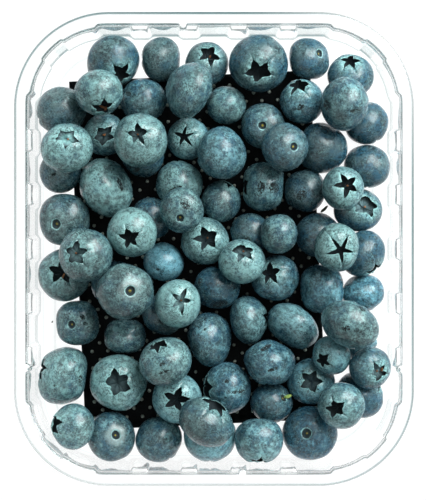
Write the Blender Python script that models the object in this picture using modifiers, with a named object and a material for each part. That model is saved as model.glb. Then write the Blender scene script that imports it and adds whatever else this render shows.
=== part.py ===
"""Punnet of blueberries: a clear thin-walled tray, an absorbent pad on its floor and the loose heap of fruit.

Metres, +Z up. The origin is under the middle of the base, X runs across the tray and Y along it.
"""

import math
from collections import namedtuple

import bmesh
import bpy
from mathutils import Matrix, Vector

MM = 0.001

# Tray, outside
RIM_WIDTH = 0.121
RIM_LENGTH = 0.143
TRAY_HEIGHT = 0.041
RIM_CORNER = 0.0285  # radius of the rim's corners in plan
SHEET = 0.00045  # wall thickness of the formed sheet

# Tray, section: insets are measured in from the rim's edge
LIP_DROP = 0.0013
LIP_FLARE = 0.0002
RIM_ROUND = 0.0007  # where the lip's round has turned into the level flange
FLANGE_INSET = 0.0029
UPPER_WALL_INSET = 0.0036
LEDGE_DROP = 0.0048  # from the rim down to the ledge
LEDGE_INSET = 0.004
LEDGE_FALL = 0.0003
WALL_FOOT_INSET = 0.0049
WALL_FOOT_HEIGHT = 0.0018
FOOT_BEND_INSET = 0.0053
FOOT_BEND_HEIGHT = 0.0006
BASE_EDGE_INSET = 0.0059
FOOT_RING_INSET = 0.0105  # where the base steps up inside the ring it stands on
FLOOR_INSET = 0.0113
FLOOR_RISE = 0.0007

# Tray, flutes and corner steps
FLUTE_DEPTH = 0.00086
PANEL_HALF = 0.0047  # half width of an outward panel at the ledge
PANEL_TAPER = 0.0012  # how much of that half is lost by the foot of the wall
FLANK = 0.00085  # run of the slope between an outward and an inward panel
SHORT_SIDE_PANELS = 5
SHORT_SIDE_PITCH = 0.01505
LONG_SIDE_PANELS = 6
LONG_SIDE_PITCH = 0.0165
CORNER_STEP = 0.0009
MIDDLE_STEP = 0.0003  # the step in the middle band of each corner
CORNER_STEP_START = math.radians(9.5)
MIDDLE_BAND_START = math.radians(34)
MIDDLE_BAND_FULL = math.radians(35.5)
CORNER_TIGHTENING = 0.16  # the corners' radius shrinks by this much more than the inset
WALL_CORNER = RIM_CORNER - LEDGE_INSET

# Tray, de-nesting lugs: one on each side, at these distances along it
LUG_HALF = 0.00125
LUG_DEPTH = 0.0014
LUG_RIGHT, LUG_TOP, LUG_LEFT, LUG_BOTTOM = -0.0364, 0.0094, 0.0361, 0.0087

# Pad
PAD_WIDTH = 0.0751
PAD_LENGTH = 0.1085
PAD_THICKNESS = 0.0012
PAD_CENTRE = (-0.005, -0.0004)
PAD_TURN = math.radians(2.7)
PAD_EDGE_ROUND = 0.0004

# Heap
GAP = 0.0003
SQUEEZE = 0.97  # how near two berries come, as a share of their radii
SKIN = 0.0002  # the heap's spheres swell by this, so that berries that touch become one solid
HEAP_CLEARANCE = 0.0008  # from the heap to the pad and the floor, before that swelling
HEAP_VOXEL = 0.0013
HEAP_KEPT_FACES = 0.056
CORE_TOP = 0.009
CORE_INSET = 0.017

Side = namedtuple("Side", "along inward half straight panels pitch lug")
Level = namedtuple("Level", "inset height flute spread step lug", defaults=(0, 0, 0, 0))
Berry = namedtuple("Berry", "x y width length")

# The berries in millimetres, lowest first: each is dropped on those before it.
BERRIES = [
    Berry(-47.2, 42.7, 15.2, 15.2),
    Berry(-31.2, 57.9, 16.2, 16.2),
    Berry(-16.4, 58.7, 12.2, 14.0),
    Berry(-2.2, 57.3, 13.4, 13.4),
    Berry(13.8, 57.1, 18.6, 17.8),
    Berry(29.4, 58.8, 12.7, 13.0),
    Berry(42.3, 53.5, 14.5, 13.5),
    Berry(-21.8, 45.9, 14.0, 14.0),
    Berry(3.8, 44.4, 12.2, 12.0),
    Berry(-33.8, 35.3, 13.5, 13.0),
    Berry(-8.0, 34.1, 13.3, 13.3),
    Berry(47.2, 38.9, 13.6, 13.2),
    Berry(33.4, 31.3, 15.6, 15.6),
    Berry(15.2, 38.0, 13.8, 14.2),
    Berry(-47.6, 23.7, 13.0, 13.0),
    Berry(-46.2, 9.0, 16.0, 16.5),
    Berry(-21.9, 28.6, 13.0, 13.0),
    Berry(15.4, 19.3, 13.2, 16.0),
    Berry(2.1, 14.7, 12.4, 12.9),
    Berry(-10.7, 20.0, 14.6, 14.4),
    Berry(-19.5, 9.5, 13.0, 13.0),
    Berry(11.3, 5.0, 12.2, 12.2),
    Berry(28.3, 18.0, 13.0, 13.2),
    Berry(47.4, 25.6, 14.4, 13.7),
    Berry(44.7, 12.0, 15.0, 13.2),
    Berry(32.0, 4.2, 13.8, 13.8),
    Berry(-2.8, 2.5, 15.0, 14.6),
    Berry(-15.6, -4.0, 12.6, 12.0),
    Berry(-46.3, -8.0, 16.0, 16.2),
    Berry(-30.8, -10.8, 14.5, 14.5),
    Berry(0.8, -12.0, 14.5, 13.3),
    Berry(19.0, -9.0, 14.8, 14.2),
    Berry(46.2, -13.6, 13.4, 11.6),
    Berry(33.3, -12.3, 14.0, 15.5),
    Berry(46.0, -1.4, 13.8, 14.3),
    Berry(-15.5, -20.2, 13.5, 13.0),
    Berry(-42.1, -22.9, 13.8, 14.3),
    Berry(-27.5, -27.1, 13.5, 10.8),
    Berry(10.7, -21.8, 11.9, 15.0),
    Berry(-1.2, -27.8, 13.7, 17.0),
    Berry(24.4, -23.8, 15.2, 14.0),
    Berry(44.4, -28.0, 12.0, 12.0),
    Berry(-46.6, -39.2, 15.4, 18.6),
    Berry(-29.5, -41.2, 17.5, 17.5),
    Berry(30.0, -41.0, 14.6, 14.3),
    Berry(17.8, -47.6, 13.1, 12.7),
    Berry(17.2, -35.0, 15.6, 13.8),
    Berry(-1.2, -57.9, 16.7, 15.6),
    Berry(-17.1, -58.9, 14.4, 14.1),
    Berry(-11.3, -46.2, 15.6, 15.8),
    Berry(13.9, -58.9, 15.2, 14.1),
    Berry(-31.7, -58.0, 15.0, 15.4),
    Berry(29.7, -57.0, 16.9, 16.9),
    Berry(45.2, -45.2, 14.4, 14.4),
    Berry(-43.3, -54.6, 13.4, 14.4),
    Berry(27.2, 45.6, 13.8, 13.9),
    Berry(2.4, 29.4, 15.1, 16.2),
    Berry(19.9, 4.6, 11.6, 12.4),
    Berry(4.2, -43.0, 14.9, 16.0),
    Berry(-33.3, 18.9, 16.4, 18.0),
    Berry(-25.2, 5.1, 15.3, 15.2),
    Berry(-39.5, -1.9, 16.6, 16.6),
    Berry(-27.0, -13.0, 17.5, 17.0),
    Berry(-11.1, -16.7, 14.2, 15.0),
    Berry(8.5, -3.9, 14.4, 13.7),
    Berry(-9.9, 11.9, 13.6, 13.8),
    Berry(-7.8, 49.0, 14.5, 17.5),
    Berry(-35.3, 48.0, 14.9, 14.2),
    Berry(-45.2, 31.1, 16.1, 15.4),
    Berry(-22.5, 33.3, 16.3, 16.8),
    Berry(40.1, 44.5, 14.6, 16.8),
    Berry(39.7, 18.7, 12.9, 13.4),
    Berry(37.7, 0.4, 13.9, 14.6),
    Berry(21.8, 31.3, 14.2, 14.8),
    Berry(36.2, -32.7, 12.0, 12.2),
    Berry(41.6, -23.3, 17.2, 15.5),
    Berry(48.0, -36.5, 13.0, 13.0),
    Berry(39.1, -48.1, 14.8, 14.3),
    Berry(-15.0, -34.6, 16.2, 15.0),
    Berry(-2.4, -53.0, 16.7, 15.2),
]


def clear_scene():
    for obj in list(bpy.data.objects):
        bpy.data.objects.remove(obj, do_unlink=True)


def collection(name):
    made = bpy.data.collections.new(name)
    bpy.context.scene.collection.children.link(made)
    return made


def material(name, colour, roughness, transmission=0.0, ior=1.45):
    made = bpy.data.materials.new(name)
    made.use_nodes = True
    shader = made.node_tree.nodes["Principled BSDF"]
    shader.inputs["Base Color"].default_value = (*colour, 1.0)
    shader.inputs["Roughness"].default_value = roughness
    shader.inputs["Metallic"].default_value = 0.0
    shader.inputs["Transmission Weight"].default_value = transmission
    shader.inputs["IOR"].default_value = ior
    made.diffuse_color = (*colour, 1.0)
    return made


def mesh_object(name, bm, look, home, smooth_angle=30):
    mesh = bpy.data.meshes.new(name)
    bm.to_mesh(mesh)
    bm.free()
    mesh.materials.append(look)
    mesh.shade_smooth()
    mesh.set_sharp_from_angle(angle=math.radians(smooth_angle))
    obj = bpy.data.objects.new(name, mesh)
    home.objects.link(obj)
    return obj


# Tray


def tray_sides():
    """The four sides, anticlockwise from +X, each with its straight half length and its row of panels."""
    short_straight = RIM_WIDTH / 2 - RIM_CORNER
    long_straight = RIM_LENGTH / 2 - RIM_CORNER
    long_row = (RIM_WIDTH / 2, long_straight, LONG_SIDE_PANELS, LONG_SIDE_PITCH)
    short_row = (RIM_LENGTH / 2, short_straight, SHORT_SIDE_PANELS, SHORT_SIDE_PITCH)
    return [
        Side(Vector((0, 1)), Vector((-1, 0)), *long_row, LUG_RIGHT),
        Side(Vector((-1, 0)), Vector((0, -1)), *short_row, LUG_TOP),
        Side(Vector((0, -1)), Vector((1, 0)), *long_row, LUG_LEFT),
        Side(Vector((1, 0)), Vector((0, 1)), *short_row, LUG_BOTTOM),
    ]


def tray_levels():
    """The sheet's middle surface, from the lip's edge down to the raised floor."""
    half = SHEET / 2
    rim = TRAY_HEIGHT - half
    ledge = TRAY_HEIGHT - LEDGE_DROP
    return [
        Level(-LIP_FLARE, TRAY_HEIGHT - LIP_DROP),
        Level(half, rim - half),
        Level(RIM_ROUND, rim),
        Level(FLANGE_INSET, rim, step=1, lug=1),
        Level(UPPER_WALL_INSET, ledge, step=1, lug=1),
        Level(LEDGE_INSET, ledge - LEDGE_FALL, flute=1, step=1),
        Level(WALL_FOOT_INSET, WALL_FOOT_HEIGHT, flute=1, spread=1, step=1),
        Level(FOOT_BEND_INSET, FOOT_BEND_HEIGHT, flute=1, spread=1, step=1),
        Level(BASE_EDGE_INSET, half, flute=1, spread=1, step=1),
        Level(FOOT_RING_INSET, half),
        Level(FLOOR_INSET, half + FLOOR_RISE),
    ]


def panel_centres(side):
    return [(i - (side.panels - 1) / 2) * side.pitch for i in range(side.panels)]


def side_stations(side):
    """Distances along one side, from corner middle to corner middle, as (distance, slide with the taper)."""
    edge = PANEL_HALF
    stations = []
    centres = panel_centres(side)
    for centre in centres:
        for sign in (-1, 1):
            stations.append((centre + sign * edge, -sign))
            if abs(centre + sign * side.pitch) <= centres[-1] + FLANK:
                stations.append((centre + sign * (edge + FLANK), 0))
    for step in range(-2, 3):
        stations.append((side.lug + step * LUG_HALF / 2, 0))
    corner = [
        CORNER_STEP_START,
        (CORNER_STEP_START + MIDDLE_BAND_START) / 2,
        MIDDLE_BAND_START,
        MIDDLE_BAND_FULL,
    ]
    for angle in corner:
        distance = side.straight + angle * WALL_CORNER
        stations += [(-distance, 0), (distance, 0)]
    stations.append((side.straight + math.radians(45) * WALL_CORNER, 0))
    return sorted(stations)


def wall_depth(side, distance, level):
    """How far inwards the flutes, the corner steps and the lug press the wall at a place along a side."""
    centres = panel_centres(side)
    away = abs(distance)
    last = centres[-1] + PANEL_HALF
    taper = PANEL_TAPER * level.spread
    if away > centres[-1]:
        step_start = side.straight + CORNER_STEP_START * WALL_CORNER
        from_edge = last - taper
        ramp = min(max((away - from_edge) / (step_start - from_edge), 0), 1)
        band_start = side.straight + MIDDLE_BAND_START * WALL_CORNER
        band_run = (MIDDLE_BAND_FULL - MIDDLE_BAND_START) * WALL_CORNER
        band = min(max((away - band_start) / band_run, 0), 1)
        depth = level.step * ramp * (CORNER_STEP + band * (MIDDLE_STEP - CORNER_STEP))
    else:
        nearest = min(abs(distance - centre) for centre in centres)
        ramp = min(max((nearest - PANEL_HALF + taper) / (FLANK + taper), 0), 1)
        depth = level.flute * ramp * FLUTE_DEPTH
    from_lug = (distance - side.lug) / LUG_HALF
    if abs(from_lug) < 1:
        depth += level.lug * LUG_DEPTH * math.sqrt(1 - from_lug**2)
    return depth


def outline_point(side, distance, inset):
    """The point this far along a side and this far in, following the corner's arc past the straight."""
    past = abs(distance) - side.straight
    if past <= 0:
        return side.along * distance - side.inward * (side.half - inset)
    sign = math.copysign(1, distance)
    angle = past / WALL_CORNER
    outwards = CORNER_TIGHTENING * inset
    centre = side.along * sign * (side.straight + outwards)
    centre -= side.inward * (side.half - RIM_CORNER + outwards)
    outward = side.along * sign * math.sin(angle) - side.inward * math.cos(angle)
    return centre + outward * (RIM_CORNER - inset - outwards)


def tray_ring(level):
    points = []
    for side in tray_sides():
        for distance, slide in side_stations(side):
            place = distance + slide * PANEL_TAPER * level.spread
            inset = level.inset + wall_depth(side, place, level)
            points.append((*outline_point(side, place, inset), level.height))
    return points


def make_tray(home):
    bm = bmesh.new()
    rings = [[bm.verts.new(point) for point in tray_ring(level)] for level in tray_levels()]
    for upper, lower in zip(rings, rings[1:]):
        for i in range(len(upper)):
            j = (i + 1) % len(upper)
            bm.faces.new((upper[i], lower[i], lower[j], upper[j]))
    bm.faces.new(list(reversed(rings[-1])))
    look = material("clear_sheet", (0.93, 0.96, 0.955), 0.06, transmission=1.0, ior=1.5)
    tray = mesh_object("tray", bm, look, home)
    wall = tray.modifiers.new("sheet", "SOLIDIFY")
    wall.thickness = SHEET
    wall.offset = 0
    return tray


# Pad


def floor_top():
    return SHEET + FLOOR_RISE


def pad_frame():
    return Matrix.Translation((*PAD_CENTRE, 0)) @ Matrix.Rotation(PAD_TURN, 4, "Z")


def make_pad(home):
    bm = bmesh.new()
    bmesh.ops.create_cube(bm, size=1)
    bmesh.ops.scale(bm, vec=(PAD_WIDTH, PAD_LENGTH, PAD_THICKNESS), verts=bm.verts)
    pad = mesh_object("pad", bm, material("pad_film", (0.012, 0.013, 0.014), 0.5), home)
    pad.matrix_world = Matrix.Translation((0, 0, floor_top() + GAP + PAD_THICKNESS / 2)) @ pad_frame()
    rounding = pad.modifiers.new("edge", "BEVEL")
    rounding.width = PAD_EDGE_ROUND
    rounding.segments = 2
    return pad


# Heap


def radius_towards(berry, direction):
    """The berry's radius in plan along a direction, in metres."""
    across = direction.x / (berry.width / 2)
    along = direction.y / (berry.length / 2)
    return MM / math.hypot(across, along)


def rest_height(x, y, radius):
    """Where a berry's middle stands on the floor or on the pad, whose edge it may lean on."""
    local = pad_frame().inverted() @ Vector((x, y, 0))
    beside = Vector((
        max(abs(local.x) - PAD_WIDTH / 2, 0),
        max(abs(local.y) - PAD_LENGTH / 2, 0),
    )).length
    floor = floor_top() + HEAP_CLEARANCE
    on_floor = floor + radius
    if beside >= radius:
        return on_floor
    return max(on_floor, floor + PAD_THICKNESS + math.sqrt(radius**2 - beside**2))


def stacked_berries():
    """Each berry as (centre, width, length) in metres, dropped straight down onto those below it."""
    placed = []
    for berry in BERRIES:
        x, y = berry.x * MM, berry.y * MM
        height = rest_height(x, y, min(berry.width, berry.length) * MM / 2)
        for other, centre in placed:
            apart = Vector((x - centre.x, y - centre.y))
            distance = apart.length
            direction = apart / distance
            reach = SQUEEZE * (radius_towards(berry, direction) + radius_towards(other, direction))
            if distance < reach:
                height = max(height, centre.z + math.sqrt(reach**2 - distance**2))
        placed.append((berry, Vector((x, y, height))))
    return placed


def outer_skin(obj):
    """The evaluated mesh without the small closed pockets that the joining leaves inside it."""
    evaluated = obj.evaluated_get(bpy.context.evaluated_depsgraph_get())
    mesh = bpy.data.meshes.new_from_object(evaluated)
    bm = bmesh.new()
    bm.from_mesh(mesh)
    bpy.data.meshes.remove(mesh)
    unseen = set(bm.verts)
    skins = []
    while unseen:
        skin = {unseen.pop()}
        edge = list(skin)
        while edge:
            near = {link.other_vert(vert) for vert in edge for link in vert.link_edges}
            edge = list(near - skin)
            skin |= near
        unseen -= skin
        skins.append(skin)
    skins.sort(key=len)
    inner = [vert for skin in skins[:-1] for vert in skin]
    bmesh.ops.delete(bm, geom=inner, context="VERTS")
    return bm


def make_heap(home):
    """One solid out to the heap's uneven outline, joined low down by a block that stays inside it."""
    bm = bmesh.new()
    for berry, centre in stacked_berries():
        depth = min(berry.width, berry.length)
        size = Vector((berry.width, berry.length, depth)) * MM / 2 + Vector((SKIN, SKIN, SKIN))
        place = Matrix.Translation(centre) @ Matrix.Diagonal((*size, 1))
        bmesh.ops.create_icosphere(bm, subdivisions=3, radius=1, matrix=place)
    floor = floor_top() + PAD_THICKNESS + HEAP_CLEARANCE + SKIN
    core = Vector((RIM_WIDTH - 2 * CORE_INSET, RIM_LENGTH - 2 * CORE_INSET, CORE_TOP - floor))
    block = Matrix.Translation((0, 0, (floor + CORE_TOP) / 2)) @ Matrix.Diagonal((*core, 1))
    bmesh.ops.create_cube(bm, size=1, matrix=block)
    look = material("berry_skin", (0.09, 0.14, 0.17), 0.55)
    loose = mesh_object("loose_berries", bm, look, home)
    joined = loose.modifiers.new("joined", "REMESH")
    joined.mode = "VOXEL"
    joined.voxel_size = HEAP_VOXEL
    heap = mesh_object("berry_heap", outer_skin(loose), look, home)
    bpy.data.objects.remove(loose)
    fewer = heap.modifiers.new("fewer faces", "DECIMATE")
    fewer.ratio = HEAP_KEPT_FACES
    return heap


def main():
    clear_scene()
    home = collection("punnet_of_blueberries")
    make_tray(home)
    make_pad(home)
    make_heap(home)


main()
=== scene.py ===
"""Punnet of blueberries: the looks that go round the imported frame.

The frame gives the tray, the pad and one solid for the heap. Here the tray becomes a finer clear sheet, the
pad a film with rows of dots, and the heap the real berries, each lying as it was dropped. Metres, +Z up.
"""

from __future__ import annotations

import logging
import math
from dataclasses import dataclass
from enum import Enum
from typing import Any

import bmesh
import bpy
import numpy as np
from mathutils import Matrix, Quaternion, Vector

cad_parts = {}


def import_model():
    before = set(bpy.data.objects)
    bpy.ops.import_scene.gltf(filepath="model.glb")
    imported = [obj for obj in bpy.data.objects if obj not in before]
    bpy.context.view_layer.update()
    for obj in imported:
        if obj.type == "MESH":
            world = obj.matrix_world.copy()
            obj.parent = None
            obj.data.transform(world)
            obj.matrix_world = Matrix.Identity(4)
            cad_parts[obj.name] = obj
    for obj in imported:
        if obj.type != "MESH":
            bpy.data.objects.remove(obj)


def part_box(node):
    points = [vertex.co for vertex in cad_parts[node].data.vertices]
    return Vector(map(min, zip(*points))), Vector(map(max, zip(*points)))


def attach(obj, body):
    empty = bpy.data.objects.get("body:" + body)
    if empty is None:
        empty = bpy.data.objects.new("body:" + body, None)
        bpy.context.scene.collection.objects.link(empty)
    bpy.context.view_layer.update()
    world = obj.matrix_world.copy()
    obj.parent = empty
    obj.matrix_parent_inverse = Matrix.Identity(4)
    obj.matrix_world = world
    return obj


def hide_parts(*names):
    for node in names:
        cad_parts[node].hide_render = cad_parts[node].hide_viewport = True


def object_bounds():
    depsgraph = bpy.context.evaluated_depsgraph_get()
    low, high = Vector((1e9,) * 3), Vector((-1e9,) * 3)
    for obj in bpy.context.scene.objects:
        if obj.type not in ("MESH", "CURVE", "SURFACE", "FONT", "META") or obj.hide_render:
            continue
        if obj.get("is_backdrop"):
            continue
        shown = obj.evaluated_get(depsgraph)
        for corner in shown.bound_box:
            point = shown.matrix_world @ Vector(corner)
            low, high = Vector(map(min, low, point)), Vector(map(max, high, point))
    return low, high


LOG = logging.getLogger("punnet")
MM = 0.001
BODY = "root"

Colour = tuple[float, float, float]
Socket = bpy.types.NodeSocket


# Node trees


class Graph:
    """Builds one node tree, of a material, a world, a group or a modifier, with short calls."""

    def __init__(self, tree: bpy.types.NodeTree) -> None:
        """Takes the tree to build in.

        Args:
            tree: the node tree, which keeps any nodes that it already has.
        """
        self.tree = tree

    def node(self, kind: str, inputs: dict[str | int, Any] | None = None, **settings: Any) -> bpy.types.Node:
        """Adds a node.

        Args:
            kind: the node's type name.
            inputs: what feeds its inputs, by name or number: a socket to link, or a value.
            **settings: the node's own properties.

        Returns:
            The new node.
        """
        made = self.tree.nodes.new(kind)
        for name, value in settings.items():
            setattr(made, name, value)
        for key, value in (inputs or {}).items():
            self.feed(made.inputs[key], value)
        return made

    def feed(self, socket: Socket, value: Any) -> None:
        """Links a socket to another one, or gives it a plain value."""
        if isinstance(value, bpy.types.NodeSocket):
            self.tree.links.new(value, socket)
        else:
            socket.default_value = value

    def math(self, operation: str, *values: Any, clamp: bool = False) -> Socket:
        """A Math node's result for up to three values."""
        inputs = dict(enumerate(values))
        return self.node("ShaderNodeMath", inputs, operation=operation, use_clamp=clamp).outputs[0]

    def vector(self, operation: str, *values: Any) -> Socket:
        """A Vector Math node's vector for up to three values."""
        inputs: dict[str | int, Any] = {}
        for i, value in enumerate(values):
            inputs["Scale" if operation == "SCALE" and i == 1 else i] = value
        return self.node("ShaderNodeVectorMath", inputs, operation=operation).outputs[0]

    def length(self, value: Any) -> Socket:
        """The length of a vector."""
        return self.node("ShaderNodeVectorMath", {0: value}, operation="LENGTH").outputs["Value"]

    def ramp(self, value: Any, low: float, high: float, start: float = 0.0, end: float = 1.0) -> Socket:
        """A smooth step from start to end as the value goes from low to high."""
        inputs = {0: value, 1: low, 2: high, 3: start, 4: end}
        return self.node("ShaderNodeMapRange", inputs, interpolation_type="SMOOTHSTEP").outputs[0]

    def mix(self, share: Any, first: Any, second: Any, blend: str = "MIX") -> Socket:
        """Two colours mixed by a share of the second."""
        made = self.node("ShaderNodeMix", data_type="RGBA", blend_type=blend)
        self.feed(made.inputs["Factor"], share)
        self.feed(made.inputs["A"], (*first, 1.0) if isinstance(first, tuple) else first)
        self.feed(made.inputs["B"], (*second, 1.0) if isinstance(second, tuple) else second)
        return made.outputs["Result"]

    def group(self, tree: bpy.types.NodeTree, inputs: dict[str, Any]) -> bpy.types.Node:
        """Places a shader node group with its own values."""
        made = self.tree.nodes.new("ShaderNodeGroup")
        made.node_tree = tree
        for name, value in inputs.items():
            self.feed(made.inputs[name], value)
        return made


def group_tree(name: str, kind: str, inputs: dict[str, str], outputs: dict[str, str]) -> Graph:
    """An empty node group with named sockets and its Group Input and Group Output nodes.

    Args:
        name: the group's name.
        kind: ShaderNodeTree or GeometryNodeTree.
        inputs: the inputs' names and socket types, without the NodeSocket in front.
        outputs: the outputs, in the same way.

    Returns:
        The group's graph.
    """
    tree = bpy.data.node_groups.new(name, kind)
    for sockets, way in ((inputs, "INPUT"), (outputs, "OUTPUT")):
        for socket, socket_type in sockets.items():
            tree.interface.new_socket(socket, in_out=way, socket_type="NodeSocket" + socket_type)
    tree.nodes.new("NodeGroupInput")
    tree.nodes.new("NodeGroupOutput")
    return Graph(tree)


def ends(graph: Graph) -> tuple[bpy.types.Node, bpy.types.Node]:
    """A group's input node and output node."""
    return graph.tree.nodes["Group Input"], graph.tree.nodes["Group Output"]


def run_modifier(obj: bpy.types.Object, graph: Graph, values: dict[str, Any]) -> bpy.types.Object:
    """Runs a geometry node tree on an object and keeps only the plain mesh that it makes.

    Args:
        obj: the object that the tree starts from.
        graph: the finished tree.
        values: the tree's named inputs.

    Returns:
        A new object of the same name, with no modifier. The old one is removed.
    """
    modifier = obj.modifiers.new("nodes", "NODES")
    modifier.node_group = graph.tree
    for item in graph.tree.interface.items_tree:
        if item.in_out == "INPUT" and item.name in values:
            modifier[item.identifier] = values[item.name]
    bpy.context.view_layer.update()
    evaluated = obj.evaluated_get(bpy.context.evaluated_depsgraph_get())
    mesh = bpy.data.meshes.new_from_object(evaluated)
    name = obj.name
    obj.modifiers.clear()
    bpy.data.objects.remove(obj)
    return new_object(name, mesh)


# Meshes


def new_object(name: str, mesh: bpy.types.Mesh) -> bpy.types.Object:
    """An object at the origin that holds a mesh, linked to the scene."""
    mesh.name = name
    obj = bpy.data.objects.new(name, mesh)
    bpy.context.scene.collection.objects.link(obj)
    return obj


def mesh_of(name: str, bm: bmesh.types.BMesh, look: bpy.types.Material | None = None) -> bpy.types.Mesh:
    """A smooth-shaded mesh from a bmesh, which is freed."""
    mesh = bpy.data.meshes.new(name)
    bm.to_mesh(mesh)
    bm.free()
    mesh.shade_smooth()
    if look:
        mesh.materials.append(look)
    return mesh


def bake_modifiers(obj: bpy.types.Object) -> bpy.types.Object:
    """A new object of the same name whose mesh has the modifiers' result, in place of the old one."""
    bpy.context.view_layer.update()
    evaluated = obj.evaluated_get(bpy.context.evaluated_depsgraph_get())
    mesh = bpy.data.meshes.new_from_object(evaluated)
    name = obj.name
    bpy.data.objects.remove(obj)
    return new_object(name, mesh)


def loft(rings: list[np.ndarray], close_start: bool = False, close_end: bool = True) -> bmesh.types.BMesh:
    """Joins closed rings of equal length into one skin.

    Args:
        rings: arrays of points; a ring of one point ends the skin in a fan.
        close_start: whether the first ring gets a face.
        close_end: whether the last ring gets a face.

    Returns:
        The skin, as a bmesh.
    """
    bm = bmesh.new()
    rows = [[bm.verts.new(point) for point in ring] for ring in rings]
    for upper, lower in zip(rows, rows[1:]):
        count = max(len(upper), len(lower))
        for i in range(count):
            j = (i + 1) % count
            if len(upper) == 1:
                bm.faces.new((upper[0], lower[i], lower[j]))
            elif len(lower) == 1:
                bm.faces.new((upper[i], lower[0], upper[j]))
            else:
                bm.faces.new((upper[i], lower[i], lower[j], upper[j]))
    if close_start and len(rows[0]) > 1:
        bm.faces.new(rows[0])
    if close_end and len(rows[-1]) > 1:
        bm.faces.new(list(reversed(rows[-1])))
    return bm


# Shared effects


class Effects:
    """The shader node groups that several finishes share, each built once."""

    def __init__(self) -> None:
        """Builds every group."""
        self.mottle = self._mottle()
        self.flecks = self._flecks()
        self.crazing = self._crazing()

    @staticmethod
    def _mottle() -> bpy.types.NodeTree:
        """Soft cloudy patches: a mask between two thresholds of layered noise, drawn out unevenly."""
        inputs = {
            "Place": "Vector",
            "Scale": "Float",
            "Detail": "Float",
            "Roughness": "Float",
            "Low": "Float",
            "High": "Float",
        }
        graph = group_tree("mottle", "ShaderNodeTree", inputs, {"Mask": "Float"})
        given, result = ends(graph)
        noise = graph.node(
            "ShaderNodeTexNoise",
            {
                "Vector": given.outputs["Place"],
                "Scale": given.outputs["Scale"],
                "Detail": given.outputs["Detail"],
                "Roughness": given.outputs["Roughness"],
                "Distortion": 0.2,
            },
        )
        low, high = given.outputs["Low"], given.outputs["High"]
        graph.feed(result.inputs["Mask"], graph.ramp(noise.outputs[0], low, high))
        return graph.tree

    @staticmethod
    def _flecks() -> bpy.types.NodeTree:
        """Scattered small spots, of which only a share is kept."""
        inputs = {"Place": "Vector", "Scale": "Float", "Size": "Float", "Share": "Float"}
        graph = group_tree("flecks", "ShaderNodeTree", inputs, {"Mask": "Float"})
        given, result = ends(graph)
        cells = graph.node(
            "ShaderNodeTexVoronoi",
            {"Vector": given.outputs["Place"], "Scale": given.outputs["Scale"]},
            feature="F1",
        )
        chance = graph.node("ShaderNodeSeparateColor", {0: cells.outputs["Color"]}).outputs[0]
        size = graph.math("MULTIPLY", given.outputs["Size"], graph.math("ADD", chance, 0.5))
        spot = graph.math("LESS_THAN", chance, given.outputs["Share"])
        inside = graph.ramp(cells.outputs["Distance"], size, 0.0)
        graph.feed(result.inputs["Mask"], graph.math("MULTIPLY", spot, inside))
        return graph.tree

    @staticmethod
    def _crazing() -> bpy.types.NodeTree:
        """Thin wandering lines, which show only in patches."""
        inputs = {"Place": "Vector", "Scale": "Float", "Width": "Float", "Share": "Float"}
        graph = group_tree("crazing", "ShaderNodeTree", inputs, {"Mask": "Float"})
        given, result = ends(graph)
        place, scale = given.outputs["Place"], given.outputs["Scale"]
        noise = graph.node(
            "ShaderNodeTexNoise",
            {"Vector": place, "Scale": scale, "Detail": 3.0, "Roughness": 0.6, "Distortion": 1.2},
        )
        from_line = graph.math("ABSOLUTE", graph.math("SUBTRACT", noise.outputs[0], 0.5))
        line = graph.ramp(from_line, given.outputs["Width"], 0.0)
        patch_scale = graph.math("MULTIPLY", scale, 0.45)
        patches = graph.node("ShaderNodeTexNoise", {"Vector": place, "Scale": patch_scale, "Detail": 2.0})
        limit = graph.math("SUBTRACT", 0.75, graph.math("MULTIPLY", given.outputs["Share"], 0.5))
        shown = graph.ramp(patches.outputs[0], limit, graph.math("ADD", limit, 0.1))
        graph.feed(result.inputs["Mask"], graph.math("MULTIPLY", line, shown))
        return graph.tree


# Finishes


def new_material(name: str) -> tuple[bpy.types.Material, Graph, bpy.types.Node]:
    """A material with its Principled BSDF linked to the output."""
    made = bpy.data.materials.new(name)
    made.use_nodes = True
    return made, Graph(made.node_tree), made.node_tree.nodes["Principled BSDF"]


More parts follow.
